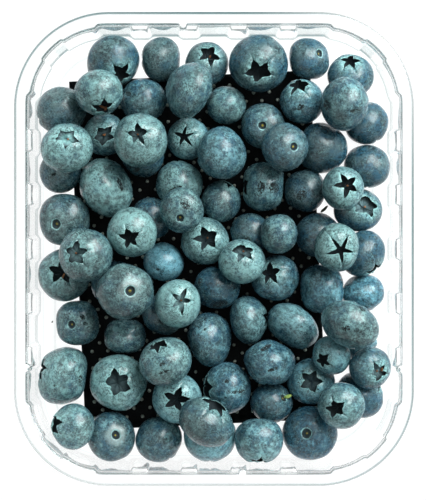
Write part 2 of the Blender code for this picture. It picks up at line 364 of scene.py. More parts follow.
@dataclass(frozen=True)
class BerrySkin:
    """Blue-black skin under a waxy bloom, which is rubbed, grainy, crazed and pitted, with painted shade at the
    berries' edges and in the crowns' cups.
    """

    grey: Colour = (0.072, 0.114, 0.118)
    blue: Colour = (0.022, 0.078, 0.122)
    pale: Colour = (0.315, 0.562, 0.560)
    cool: Colour = (0.205, 0.500, 0.630)
    dark: Colour = (0.009, 0.018, 0.024)
    # painted shade: the dark colour, and its bluer twin, that each berry's edge as the camera sees it turns to
    painted_limb_shade: Colour = (0.022, 0.070, 0.092)
    cool_painted_limb_shade: Colour = (0.017, 0.076, 0.140)
    cup: Colour = (0.008, 0.013, 0.016)
    # painted shade: the walls of the crown's cup, under the lobes, are painted near black
    cup_floor: Colour = (0.120, 0.190, 0.205)
    halo: Colour = (0.260, 0.330, 0.330)
    recess: Colour = (0.014, 0.022, 0.024)
    pit: Colour = (0.002, 0.004, 0.005)
    heart: Colour = (0.270, 0.210, 0.035)
    radius_mm: float = 7.5
    roughness: float = 0.21

    def material(self, effects: Effects) -> bpy.types.Material:
        """The skin's material, which reads the attributes that the berries carry."""
        made, graph, shader = new_material("berry_skin")
        rest = self._attribute(graph, "rest").outputs["Vector"]
        seed = self._attribute(graph, "seed").outputs["Fac"]
        shift = graph.vector("SCALE", (17.3, 9.1, 5.7), seed)
        place = graph.vector("ADD", graph.vector("SCALE", rest, self.radius_mm), shift)
        skin = self._bloomed(graph, effects, place)
        skin = self._worn(graph, effects, place, skin)
        skin = self._crown(graph, effects, place, skin)
        skin, sunk = self._stem_end(graph, effects, rest, place, skin)
        # painted shade: the skin is painted darker and bluer towards each berry's edge as the camera sees it
        facing = graph.node("ShaderNodeLayerWeight", {"Blend": 0.5}).outputs["Facing"]
        turned = graph.math("MULTIPLY", graph.ramp(facing, 0.30, 0.95), 0.48)
        blue = self._attribute(graph, "blue").outputs["Fac"]
        painted_limb_shade = graph.mix(graph.math("MULTIPLY_ADD", blue, 0.8, 0.25, clamp=True), self.painted_limb_shade, self.cool_painted_limb_shade)
        graph.feed(shader.inputs["Base Color"], graph.mix(turned, skin, painted_limb_shade))
        self._surface(graph, effects, shader, place, sunk)
        return made

    @staticmethod
    def _attribute(graph: Graph, name: str) -> bpy.types.Node:
        """An Attribute node that reads one of the berries' values."""
        return graph.node("ShaderNodeAttribute", attribute_name=name)

    @staticmethod
    def _mottled(
        graph: Graph,
        effects: Effects,
        place: Socket,
        scale: float,
        low: Any,
        high: Any,
        detail: float = 5.0,
        roughness: float = 0.62,
    ) -> Socket:
        """A mottle mask at one scale, in patches for each millimetre."""
        inputs = {"Place": place, "Scale": scale, "Detail": detail, "Roughness": roughness, "Low": low, "High": high}
        return graph.group(effects.mottle, inputs).outputs["Mask"]

    def _bloomed(self, graph: Graph, effects: Effects, place: Socket) -> Socket:
        """Grey and blue skin under pale bloom, which lies in clouds and in fine grains, and thins where a berry's value
        paints in shade.
        """
        # the berry's bloom, whose low values also paint in shade
        bloom = self._attribute(graph, "bloom").outputs["Fac"]
        blue = self._attribute(graph, "blue").outputs["Fac"]
        patches = self._mottled(graph, effects, place, 0.14, 0.36, 0.66, 3.0)
        share = graph.math("ADD", patches, graph.math("MULTIPLY", blue, 0.8), clamp=True)
        skin = graph.mix(share, self.grey, self.blue)
        cover = graph.math("MULTIPLY_ADD", bloom, -0.09, 0.50)
        thick = graph.math("MULTIPLY_ADD", bloom, 0.20, 0.42, clamp=True)
        pale = graph.mix(graph.math("MULTIPLY", blue, 0.85, clamp=True), self.pale, self.cool)
        fine = self._patchy(graph, effects, place)
        for scale, spread, detail, share in ((0.22, 0.16, 5.0, 0.90), (0.55, 0.13, 5.0, 0.85), (1.50, 0.14, 3.0, 0.58)):
            clouds = self._mottled(graph, effects, place, scale, cover, graph.math("ADD", cover, spread), detail, 0.66)
            strength = graph.math("MULTIPLY", thick, graph.math("MULTIPLY", fine, share) if scale > 1 else share)
            skin = graph.mix(graph.math("MULTIPLY", clouds, strength), skin, pale)
        return skin

    def _patchy(self, graph: Graph, effects: Effects, place: Socket) -> Socket:
        """Where the fine wear lies: all but smooth in some patches, and strongest in others."""
        return graph.math("MULTIPLY_ADD", self._mottled(graph, effects, place, 0.20, 0.40, 0.60, 3.0), 1.15, 0.25)

    def _worn(self, graph: Graph, effects: Effects, place: Socket, skin: Socket) -> Socket:
        """Rubbed patches, dark grains, flecks, thin cracks in the bloom and the scuffs of single berries."""
        # low values, which are partly painted shade, bare more of the dark skin
        bloom = self._attribute(graph, "bloom").outputs["Fac"]
        bare = graph.math("MINIMUM", graph.math("MAXIMUM", graph.math("MULTIPLY_ADD", bloom, -0.45, 1.0), 0.45), 1.35)
        fine = self._patchy(graph, effects, graph.vector("ADD", place, (31.0, 7.0, 13.0)))
        fine = graph.math("MULTIPLY", fine, bare)
        for scale, low, high, detail, share in (
            (0.36, 0.51, 0.64, 6.0, 0.68),
            (0.85, 0.53, 0.64, 5.0, 0.76),
            (1.40, 0.53, 0.62, 4.0, 0.70),
            (2.10, 0.50, 0.62, 3.0, 0.72),
        ):
            rubbed = self._mottled(graph, effects, place, scale, low, high, detail, 0.67)
            strength = graph.math("MULTIPLY", fine if scale > 1 else bare, share, clamp=True)
            skin = graph.mix(graph.math("MULTIPLY", rubbed, strength), skin, self.dark)
        for scale, size, share in ((0.7, 0.25, 0.34), (1.7, 0.34, 0.30)):
            inputs = {"Place": place, "Scale": scale, "Size": size, "Share": share}
            flecks = graph.group(effects.flecks, inputs).outputs["Mask"]
            skin = graph.mix(graph.math("MULTIPLY", flecks, 0.88), skin, self.dark)
        for scale, width, share, colour, strength in (
            (0.42, 0.020, 0.62, self.dark, 0.85),
            (0.80, 0.018, 0.60, self.pale, 0.55),
        ):
            inputs = {"Place": place, "Scale": scale, "Width": width, "Share": share}
            lines = graph.group(effects.crazing, inputs).outputs["Mask"]
            skin = graph.mix(graph.math("MULTIPLY", lines, strength), skin, colour)
        scuff = self._scuff(graph, effects, place)
        brink = graph.math("MULTIPLY", graph.ramp(scuff, 0.10, 0.30), graph.ramp(scuff, 0.55, 0.40))
        skin = graph.mix(graph.math("MULTIPLY", brink, 0.15), skin, self.pale)
        return graph.mix(graph.ramp(scuff, 0.34, 0.56), skin, self.pit)

    def _scuff(self, graph: Graph, effects: Effects, place: Socket) -> Socket:
        """How strongly the skin is scuffed: in short cracks, which run together where it is strongest."""
        scuff = self._attribute(graph, "scuff").outputs["Fac"]
        inputs = {"Place": place, "Scale": 0.85, "Width": 0.15, "Share": 1.5}
        cracks = graph.group(effects.crazing, inputs).outputs["Mask"]
        within = graph.ramp(scuff, 0.10, 0.45)
        strokes = graph.math("MULTIPLY", within, graph.math("MULTIPLY_ADD", cracks, 0.75, -0.08))
        return graph.math("ADD", graph.math("MULTIPLY", scuff, 0.30), strokes)

    def _crown(self, graph: Graph, effects: Effects, place: Socket, skin: Socket) -> Socket:
        """Paler lobes round the crown's opening, the cup under them painted near black as shade, and its dim floor."""
        lobe = self._attribute(graph, "lobe").outputs["Fac"]
        cup = self._attribute(graph, "cup").outputs["Fac"]
        floor = self._attribute(graph, "cup_floor").outputs["Fac"]
        broken = self._mottled(graph, effects, place, 0.9, 0.34, 0.58, 5.0, 0.75)
        pale = graph.math("MULTIPLY", graph.math("MULTIPLY", lobe, 0.85), graph.math("MULTIPLY_ADD", broken, 0.80, 0.20))
        skin = graph.mix(pale, skin, self.pale)
        inputs = {"Place": place, "Scale": 0.55, "Width": 0.035, "Share": 1.4}
        cracks = graph.group(effects.crazing, inputs).outputs["Mask"]
        skin = graph.mix(graph.math("MULTIPLY", cracks, graph.ramp(lobe, 0.05, 0.35)), skin, self.dark)
        brink = graph.math("MULTIPLY", graph.ramp(lobe, 0.86, 0.98), graph.math("MULTIPLY_ADD", broken, 0.5, 0.2))
        skin = graph.mix(brink, skin, self.pale)
        # painted shade: the cup under the lobes goes near black
        skin = graph.mix(graph.ramp(cup, 0.1, 0.7), skin, self.cup)
        dim = graph.math("MINIMUM", floor, 1.0)
        skin = graph.mix(graph.math("MULTIPLY", dim, graph.math("MULTIPLY_ADD", broken, 0.6, 0.4)), skin, self.cup_floor)
        bright = graph.math("SUBTRACT", floor, 1.0, clamp=True)
        return graph.mix(graph.math("MULTIPLY", bright, 0.8), skin, self.pale)

    def _stem_end(
        self, graph: Graph, effects: Effects, rest: Socket, place: Socket, skin: Socket
    ) -> tuple[Socket, Socket]:
        """The scar at the stem's end: a soft halo, a thin broken rim, a dim recess and a small olive heart.

        Args:
            graph: the material's nodes.
            effects: the shared groups.
            rest: the place on the upright berry.
            place: the same in millimetres, shifted for each berry.
            skin: the colour so far.

        Returns:
            The colour with the scar, and where its recess is.
        """
        parts = graph.node("ShaderNodeSeparateXYZ", {0: rest})
        scarred = self._attribute(graph, "scarred").outputs["Fac"]
        under = graph.math("MULTIPLY", graph.ramp(parts.outputs["Z"], -0.6, -0.8), scarred)
        flat = graph.vector("MULTIPLY", rest, (1.0, 1.0, 0.0))
        uneven = self._mottled(graph, effects, place, 0.5, 0.2, 0.8, 3.0)
        away = graph.math("ADD", graph.length(flat), graph.math("MULTIPLY_ADD", uneven, 0.05, -0.025))
        halo = self._attribute(graph, "halo").outputs["Fac"]
        broken = self._mottled(graph, effects, place, 0.7, 0.35, 0.6)
        glow = graph.math("MULTIPLY", graph.ramp(away, 0.52, 0.30), graph.math("MULTIPLY", halo, under))
        skin = graph.mix(graph.math("MULTIPLY", glow, 0.7), skin, self.halo)
        near = graph.math("MULTIPLY", graph.ramp(away, 0.225, 0.200), under)
        skin = graph.mix(graph.math("MULTIPLY", near, graph.math("MULTIPLY_ADD", broken, 0.55, 0.15)), skin, self.pale)
        recess = graph.math("MULTIPLY", graph.ramp(away, 0.185, 0.165), under)
        skin = graph.mix(recess, skin, graph.mix(broken, self.dark, self.recess))
        heart = graph.math("MULTIPLY", graph.ramp(away, 0.055, 0.032), under)
        ripe = graph.math("MULTIPLY_ADD", broken, 0.6, 0.4, clamp=True)
        return graph.mix(graph.math("MULTIPLY", heart, ripe), skin, self.heart), recess

    def _surface(
        self, graph: Graph, effects: Effects, shader: bpy.types.Node, place: Socket, sunk: Socket
    ) -> None:
        """Roughness, a soft bluish sheen at the edges and fine relief.

        Args:
            graph: the material's nodes.
            effects: the shared groups.
            shader: the Principled BSDF.
            place: the place on the upright berry in millimetres, shifted for each berry.
            sunk: where the stem end's recess is, which is dull.
        """
        rough = self._mottled(graph, effects, place, 0.9, 0.3, 0.7)
        cup = self._attribute(graph, "cup").outputs["Fac"]
        surface = graph.math("MULTIPLY_ADD", rough, 0.10, self.roughness)
        scuff = self._scuff(graph, effects, place)
        dull = graph.math("MAXIMUM", graph.ramp(scuff, 0.25, 0.45), sunk)
        graph.feed(shader.inputs["Roughness"], graph.math("MAXIMUM", surface, graph.math("MAXIMUM", dull, cup)))
        shader.inputs["IOR"].default_value = 1.48
        shader.inputs["Sheen Weight"].default_value = 0.05
        shader.inputs["Sheen Roughness"].default_value = 0.4
        shader.inputs["Sheen Tint"].default_value = (0.36, 0.66, 0.74, 1.0)
        grain = graph.node("ShaderNodeTexNoise", {"Vector": place, "Scale": 1.3, "Detail": 6.0, "Roughness": 0.7})
        height = graph.math("MULTIPLY_ADD", graph.ramp(scuff, 0.15, 0.75), -9.0, grain.outputs[0])
        relief = graph.node("ShaderNodeBump", {"Strength": 0.3, "Distance": 0.00008, "Height": height})
        graph.feed(shader.inputs["Normal"], relief.outputs[0])


@dataclass(frozen=True)
class ClearSheet:
    """Clear thermoformed sheet, with painted reflection and shade: a dark cool grey where it is seen edge on."""

    clear: Colour = (0.992, 0.997, 0.996)
    # painted reflection and shade: the dark lines where the sheet is seen edge on
    edge: Colour = (0.08, 0.20, 0.21)
    ior: float = 1.42
    roughness: float = 0.0

    def material(self) -> bpy.types.Material:
        """Clear plastic that lets light through without a hard shadow."""
        made, graph, shader = new_material("clear_sheet")
        # painted reflection and shade: the edge attribute darkens the sheet along its bends and edges
        along = graph.node("ShaderNodeAttribute", attribute_name="edge")
        graph.feed(shader.inputs["Base Color"], graph.mix(along.outputs["Fac"], self.clear, self.edge))
        shader.inputs["Roughness"].default_value = self.roughness
        shader.inputs["IOR"].default_value = self.ior
        shader.inputs["Transmission Weight"].default_value = 1.0
        shadow = graph.node("ShaderNodeBsdfTransparent", {"Color": (0.97, 0.98, 0.98, 1.0)})
        path = graph.node("ShaderNodeLightPath")
        mixed = graph.node(
            "ShaderNodeMixShader", {0: path.outputs["Is Shadow Ray"], 1: shader.outputs[0], 2: shadow.outputs[0]}
        )
        graph.feed(made.node_tree.nodes["Material Output"].inputs["Surface"], mixed.outputs[0])
        return made


@dataclass(frozen=True)
class PlainFinish:
    """A solid colour that is clouded with a second one, for the small pieces and the pad."""

    name: str
    colour: Colour
    second: Colour
    roughness: float
    patch_mm: float
    relief: float = 0.2
    specular: float = 0.5

    def material(self, effects: Effects) -> bpy.types.Material:
        """The material, mottled at the finish's own scale."""
        made, graph, shader = new_material(self.name)
        place = graph.node("ShaderNodeTexCoord").outputs["Object"]
        inputs = {
            "Place": place,
            "Scale": 1 / (self.patch_mm * MM),
            "Detail": 4.0,
            "Roughness": 0.6,
            "Low": 0.35,
            "High": 0.65,
        }
        mask = graph.group(effects.mottle, inputs).outputs["Mask"]
        graph.feed(shader.inputs["Base Color"], graph.mix(mask, self.colour, self.second))
        shader.inputs["Roughness"].default_value = self.roughness
        shader.inputs["Specular IOR Level"].default_value = self.specular
        relief = graph.node("ShaderNodeBump", {"Strength": self.relief, "Distance": 0.0001, "Height": mask})
        graph.feed(shader.inputs["Normal"], relief.outputs[0])
        return made


# Berries


class Kind(Enum):
    """Which end of a berry shows from above, and the cut of its crown. The value names the piece."""

    STAR = "star_crown_berries"
    WIDE = "wide_crown_berries"
    SLIT = "slit_crown_berries"
    SCAR = "stem_scar_berries"
    SIDE = "side_lying_berries"
    DENTED = "dented_berries"


@dataclass(frozen=True)
class Crown:
    """The cut of a crown, in shares of the berry's radius."""

    tips: float = 0.45  # from the middle to the points of the opening
    waist: float = 0.23  # from the middle to the lobes' edges between the points
    taper: float = 1.25  # over 1 the points are slender, under 1 they are round
    depth: float = 0.5  # of the cup under the lobes
    ragged: float = 0.22  # how unequal the lobes are
    pale_floor: float = 0.0  # how pale the cup's floor is, where 1 is dim and 2 is as pale as the lobes
    lift: float = 0.02  # of the ridge that the lobes grow from


@dataclass(frozen=True)
class Berry:
    """One berry as it lies: its place and its outline from above in millimetres, and how it is turned."""

    x: float
    y: float
    width: float
    length: float
    kind: Kind
    lean: tuple[float, float] = (0.0, 0.0)  # where the end that shows is, from the middle, in radii
    turn: float = 0.0  # degrees from +X to one point of the crown
    crown: Crown = Crown()
    bloom: float = 0.0  # from rubbed dark, below 0, to thick pale bloom, above 0; low values also stand for painted shade, on berries that lie in deep shade and on those along the top and right edges
    blue: float = 0.0
    halo: float = 0.0
    corners: tuple[int, float, float] = (4, 0.0, 0.0)  # how many, how strong, and degrees from +X to one

    def axis(self) -> Vector:
        """The unit vector from the middle towards the crown."""
        if self.kind in (Kind.SIDE, Kind.DENTED):
            sink = Vector((self.lean[0], self.lean[1], -0.45))
            return sink.normalized()
        across = Vector(self.lean) / FLAT_ENDS
        reach = min(across.length, 0.985)
        if across.length > 0:
            across = across.normalized() * reach
        upward = Vector((across.x, across.y, math.sqrt(1 - reach**2)))
        return -upward if self.kind is Kind.SCAR else upward

    def turning(self) -> Quaternion:
        """The rotation that takes the upright berry to the way it lies."""
        up = self.axis()
        heading = Vector((math.cos(math.radians(self.turn)), math.sin(math.radians(self.turn)), 0.0))
        ahead = heading - up * heading.dot(up)
        if ahead.length < 0.05:
            ahead = Vector((0, 0, 1)) - up * up.z
        ahead.normalize()
        side = up.cross(ahead)
        return Matrix((ahead, side, up)).transposed().to_quaternion()

    def radii(self) -> tuple[float, float]:
        """The radius round the middle and the half length from crown to stem end, in millimetres."""
        up = self.axis()
        x_share, y_share = up.x**2, up.y**2
        width, length = (self.width / 2) ** 2, (self.length / 2) ** 2
        if abs(x_share - y_share) > 0.25:
            squash = (width - length) / (x_share - y_share)
        else:
            squash = -(1 - USUAL_SQUASH**2) * (width + length) / 2
        girth = (width + length - squash * (x_share + y_share)) / 2
        ratio = min(max(math.sqrt(max(1 + squash / girth, 0)), 0.76), 1.0)
        return math.sqrt(girth), math.sqrt(girth) * ratio

    def fit(self) -> Vector:
        """The stretch along X, Y and Z that gives the berry its outline from above."""
        up = self.axis()
        girth, half = self.radii()
        squash = half**2 - girth**2
        across = self.width / 2 / math.sqrt(girth**2 + squash * up.x**2)
        along = self.length / 2 / math.sqrt(girth**2 + squash * up.y**2)
        return Vector((across, along, (across + along) / 2))


FLAT_ENDS = 0.9  # the crown is this far out along the axis, in half lengths
USUAL_SQUASH = 0.86


def side(x: float, y: float, width: float, length: float, heading: float, **looks: Any) -> Berry:
    """A berry that lies on its side, with its crown towards a heading in degrees."""
    lean = (math.cos(math.radians(heading)), math.sin(math.radians(heading)))
    kind = Kind.DENTED if looks.pop("dented", False) else Kind.SIDE
    return Berry(x, y, width, length, kind, lean, heading, **looks)


def star(x: float, y: float, size: float, lean: tuple[float, float], turn: float, **looks: Any) -> Berry:
    """A round berry that shows the points of its crown."""
    return Berry(x, y, size, looks.pop("length", size), Kind.STAR, lean, turn, **looks)


def wide(x: float, y: float, size: float, lean: tuple[float, float], turn: float, **looks: Any) -> Berry:
    """A round berry that shows a wide or torn crown."""
    return Berry(x, y, size, looks.pop("length", size), Kind.WIDE, lean, turn, **looks)


def scar(x: float, y: float, size: float, lean: tuple[float, float], **looks: Any) -> Berry:
    """A round berry that shows the scar at its stem's end."""
    return Berry(x, y, size, looks.pop("length", size), Kind.SCAR, lean, **looks)


# The berries, lowest first: each is dropped straight down onto those before it.
# Their bloom values also paint in shade: low on berries that lie in deep shade and on those along the top and right
# edges.
BERRIES: tuple[Berry, ...] = (
    side(-47.2, 42.7, 15.2, 15.2, 200, bloom=-0.6, blue=-0.4),
    wide(-31.2, 57.9, 16.2, (0.33, -0.52), 60, crown=Crown(0.46, 0.25, 1.2), bloom=-0.8),
    side(-16.4, 58.7, 12.2, 14.0, 180, bloom=-0.7, blue=-0.6, corners=(4, 0.02, 45)),
    star(-2.2, 57.3, 13.4, (0.15, 0.40), 65, crown=Crown(0.51, 0.27), bloom=-1.4, blue=-0.1),
    star(13.8, 57.1, 18.6, (0.0, -0.30), 45, length=17.8, crown=Crown(0.45, 0.26, ragged=0.3), blue=0.2, bloom=-0.75),
    scar(29.4, 58.8, 12.7, (0.53, 0.28), length=13.0, bloom=-1.4, blue=0.3, halo=0.2, corners=(4, 0.02, 45)),
    star(42.3, 53.5, 14.5, (-0.05, 0.68), 18, length=13.5, crown=Crown(0.50, 0.22), bloom=-0.85, blue=0.3),
    side(-21.8, 45.9, 14.0, 14.0, 250, bloom=-0.15, blue=0.3, dented=True),
    side(3.8, 44.4, 12.2, 12.0, 20, bloom=0.3),
    wide(-33.8, 35.3, 13.5, (0.0, -0.05), 50, length=13.0, crown=Crown(0.50, 0.30, 1.2, 0.3, 0.3, 0.7), bloom=0.2, blue=0.2),
    star(-8.0, 34.1, 13.3, (-0.2, 0.1), 18, crown=Crown(0.56, 0.18, 1.9, ragged=0.3), bloom=0.6, blue=0.2),
    side(47.2, 38.9, 13.6, 13.2, 300, bloom=-1.8, blue=0.3),
    side(33.4, 31.3, 15.6, 15.6, 240, bloom=-1.25, blue=0.3),
    scar(15.2, 38.0, 13.8, (-0.05, 0.0), length=14.2, bloom=-0.15, halo=0.1),
    side(-47.6, 23.7, 13.0, 13.0, 120, bloom=-0.65, dented=True),
    scar(-46.2, 9.0, 16.0, (-0.33, -0.18), length=16.5, bloom=-0.3, blue=-0.4, halo=0.1, corners=(4, 0.02, 45)),
    side(-21.9, 28.6, 13.0, 13.0, 75, bloom=-0.45, blue=0.4),
    wide(15.4, 19.3, 13.2, (-0.97, 0.05), 100, length=16.0, bloom=0.25, blue=0.2, corners=(4, 0.05, 45)),
    star(2.1, 14.7, 12.4, (0.42, 0.80), 70, length=12.9, bloom=0.1, blue=0.1),
    side(-10.7, 20.0, 14.6, 14.4, 95, bloom=0.7, dented=True),
    side(-19.5, 9.5, 13.0, 13.0, 330, bloom=-0.3, blue=0.2),
    side(11.3, 5.0, 12.2, 12.2, 160, bloom=-0.5, blue=0.2),
    side(28.3, 18.0, 13.0, 13.2, 60, bloom=-1.3, blue=0.2, dented=True, corners=(5, 0.02, 70)),
    side(47.4, 25.6, 14.4, 13.7, 270, bloom=-1.07, blue=0.2, dented=True, corners=(3, 0.02, 210)),
    wide(44.7, 12.0, 15.0, (0.35, 0.2), 6, length=13.2, crown=Crown(0.58, 0.36, 1.15, 0.3, 0.35, 1.0), bloom=-1.05, blue=0.2),
    side(32.0, 4.2, 13.8, 13.8, 15, bloom=-0.9, blue=0.5),
    star(-2.8, 2.5, 15.0, (0.07, 0.1), 32, length=14.6, crown=Crown(0.60, 0.27, 1.3, 0.5, 0.25, 0.3), bloom=0.7),
    side(-15.6, -4.0, 12.6, 12.0, 250, bloom=1.2, blue=1, dented=True, corners=(3, 0.03, 90)),
    star(-46.3, -8.0, 16.0, (-0.1, 0.15), 18, length=16.2, crown=Crown(0.52, 0.26), bloom=0.22, blue=-0.3),
    side(-30.8, -10.8, 14.5, 14.5, 280, bloom=-1.9, blue=0.3),
    side(0.8, -12.0, 14.5, 13.3, 85, bloom=-0.15, blue=0.8, dented=True, corners=(4, 0.02, 30)),
    star(19.0, -9.0, 14.8, (-0.25, 0.25), 20, length=14.2, crown=Crown(0.48, 0.27, ragged=0.4), blue=0.6, bloom=0.15),
    side(46.2, -13.6, 13.4, 11.6, 280, bloom=0.35, blue=1.0),
    side(33.3, -12.3, 14.0, 15.5, 5, bloom=0.3, blue=0.7, dented=True, corners=(4, 0.04, 50)),
    wide(46.0, -1.4, 13.8, (0.55, -0.70), 20, length=14.3, bloom=-0.65, blue=0.4),
    side(-15.5, -20.2, 13.5, 13.0, 80, bloom=-0.35, dented=True),
    scar(-42.1, -22.9, 13.8, (-0.29, -0.07), length=14.3, bloom=0.02, corners=(4, 0.03, 50)),
    side(-27.5, -27.1, 13.5, 10.8, 270, bloom=0.1, corners=(4, 0.04, 40)),
    star(10.7, -21.8, 11.9, (0.95, 0.1), 80, length=15.0, bloom=0.32, blue=0.3, corners=(3, 0.03, 270)),
    side(-1.2, -27.8, 13.7, 17.0, 185, bloom=0.0, blue=0.4, dented=True, corners=(3, 0.035, 270)),
    side(24.4, -23.8, 15.6, 14.2, 55, bloom=0.65, blue=0.4, dented=True, corners=(2, 0.04, -35)),
    side(44.4, -28.0, 12.0, 12.0, 0, bloom=0.35, blue=0.6),
    star(-46.6, -39.2, 15.4, (-0.97, 0.25), 90, length=18.6, bloom=0.5, blue=-0.1, corners=(4, 0.045, 45)),
    wide(-29.5, -41.2, 17.5, (-0.03, 0.0), 38, crown=Crown(0.50, 0.27, 1.25, 0.34, 0.3, 0.75), bloom=0.8, blue=-0.2),
    wide(30.0, -41.0, 14.6, (0.0, 0.05), 66, length=14.3, crown=Crown(0.51, 0.27, 1.2, 0.3, 0.25, 0.5), blue=0.9, bloom=0.35),
    scar(17.8, -47.6, 13.1, (0.55, 0.25), length=12.7, bloom=-0.38, blue=0.4),
    side(17.2, -35.0, 15.6, 13.8, 262, bloom=0.2, blue=0.5, dented=True, corners=(5, 0.03, 20)),
    side(-1.2, -57.9, 16.7, 15.6, 270, bloom=0.6, blue=0.5),
    side(-17.1, -58.9, 14.4, 14.1, 300, bloom=-0.2, blue=0.2),
    star(-11.3, -46.2, 15.6, (-0.05, -0.02), 0, length=15.8, crown=Crown(0.57, 0.28, ragged=0.3), bloom=1, blue=0.3),
    wide(13.9, -58.9, 15.2, (0.0, -0.89), 20, length=14.1, bloom=0.35, blue=0.3, corners=(4, 0.02, 45)),
    scar(-31.7, -58.0, 15.0, (0.22, 0.1), length=15.4, bloom=-0.25, blue=0.1, halo=0.8),
    scar(29.7, -57.0, 16.9, (-0.15, 0.02), bloom=-0.5, blue=1.0),
    wide(45.2, -45.2, 14.4, (0.70, 0.56), 40, bloom=-0.7, blue=0.8),
    wide(-43.3, -54.6, 13.4, (-0.80, 0.1), 0, length=14.4, crown=Crown(0.46, 0.26, ragged=0.5), bloom=0.3, blue=-0.1),
    star(27.2, 45.6, 13.8, (-0.17, 0.66), 18, length=13.9, crown=Crown(0.52, 0.28, ragged=0.3), bloom=0.25, blue=0.6),
    side(2.4, 29.4, 15.1, 16.2, 190, bloom=0.4, blue=0.5, dented=True, corners=(3, 0.02, 100)),
    side(19.9, 4.6, 11.6, 12.4, 350, bloom=0.2, blue=-0.1, dented=True, corners=(4, 0.02, 45)),
    wide(4.2, -43.0, 14.9, (-0.84, 0.0), 90, length=16.0, crown=Crown(0.46, 0.30, ragged=0.4), bloom=0.15, blue=0.7),
    side(-33.3, 18.9, 16.6, 17.6, 210, bloom=0.7, blue=-0.3, dented=True, corners=(2, 0.045, -60)),
    star(-25.2, 5.1, 15.3, (-0.1, -0.25), 30, crown=Crown(0.45, 0.21, ragged=0.3), bloom=1.15, blue=-0.5),
    wide(-39.5, -1.9, 16.6, (-0.36, 0.08), 12, crown=Crown(0.44, 0.30, 1.05, 0.2, 0.3, 1.3, 0.035), bloom=0.2, blue=-0.4),
    scar(-27.0, -13.0, 17.5, (0.2, 0.02), length=17.0, bloom=0.1, blue=-0.4, halo=0.45, corners=(5, 0.012, 30)),
    star(-11.1, -16.7, 14.2, (0.15, 0.15), 0, length=15.0, crown=Crown(0.53, 0.19, 1.4, 0.26, 0.35, 1.35), bloom=1.2),
    wide(8.5, -3.9, 14.4, (0.1, 0.5), 32, length=13.7, crown=Crown(0.48, 0.27, 1.25, 0.3, 0.35, 1.0), bloom=0.9),
    scar(-9.9, 11.9, 13.6, (-0.07, -0.4), length=13.8, bloom=0.35, blue=-0.1),
    side(-7.8, 49.0, 14.5, 17.5, 332, bloom=0.22, dented=True, corners=(3, 0.03, 270)),
    star(-35.3, 48.0, 14.9, (0.18, -0.64), 18, length=14.2, crown=Crown(0.46, 0.24, ragged=0.3), bloom=0.5, blue=-0.4),
    Berry(-45.2, 31.1, 16.1, 15.4, Kind.SLIT, (0.05, 0.43), 55, Crown(0.46, 0.30, 2.2, 0.10, 0.3, 2.0), 0.75, -0.3),
    star(-22.5, 33.3, 16.3, (-0.1, 0.23), 18, length=16.8, crown=Crown(0.42, 0.20, 1.25, 0.34, 0.25, 0.8), bloom=0.7, blue=-0.4),
    side(40.1, 44.5, 14.6, 16.8, 355, bloom=0.0, blue=0.1, dented=True),
    star(39.7, 18.7, 12.9, (0.2, 0.15), 40, length=13.4, crown=Crown(0.60, 0.26, 1.4, ragged=0.25), bloom=0.5),
    Berry(37.7, 0.4, 13.9, 14.6, Kind.SLIT, (0.18, -0.10), 58, Crown(0.67, 0.17, 2.2, 0.45, 0.2), 0.55, -0.5),
    scar(21.8, 31.3, 14.2, (0.42, 0.0), length=14.8, bloom=-0.2, blue=0.3, halo=0.3),
    star(36.2, -32.7, 12.0, (-0.50, -0.27), 42, crown=Crown(0.46, 0.21), bloom=1, blue=0.5),
    side(41.6, -23.3, 17.0, 15.3, 63, bloom=0.3, dented=True, corners=(2, 0.055, -25)),
    wide(48.0, -36.5, 13.0, (0.45, -0.2), 40, crown=Crown(0.50, 0.28, 1.25, 0.3, 0.35, 1.1), bloom=-0.15, blue=0.4),
    star(39.1, -48.1, 14.8, (-0.28, -0.12), 36, length=14.3, crown=Crown(0.44, 0.24, ragged=0.3), bloom=0.4, blue=0.1),
    wide(-15.0, -34.6, 16.2, (-0.25, 0.70), 80, length=15.0, crown=Crown(0.36, 0.2, ragged=0.7), bloom=0.5),
    wide(-2.4, -53.0, 16.7, (0.44, 0.70), 30, length=15.2, crown=Crown(0.55, 0.32, 1.1, 0.35, 0.35), bloom=-0.3),
)


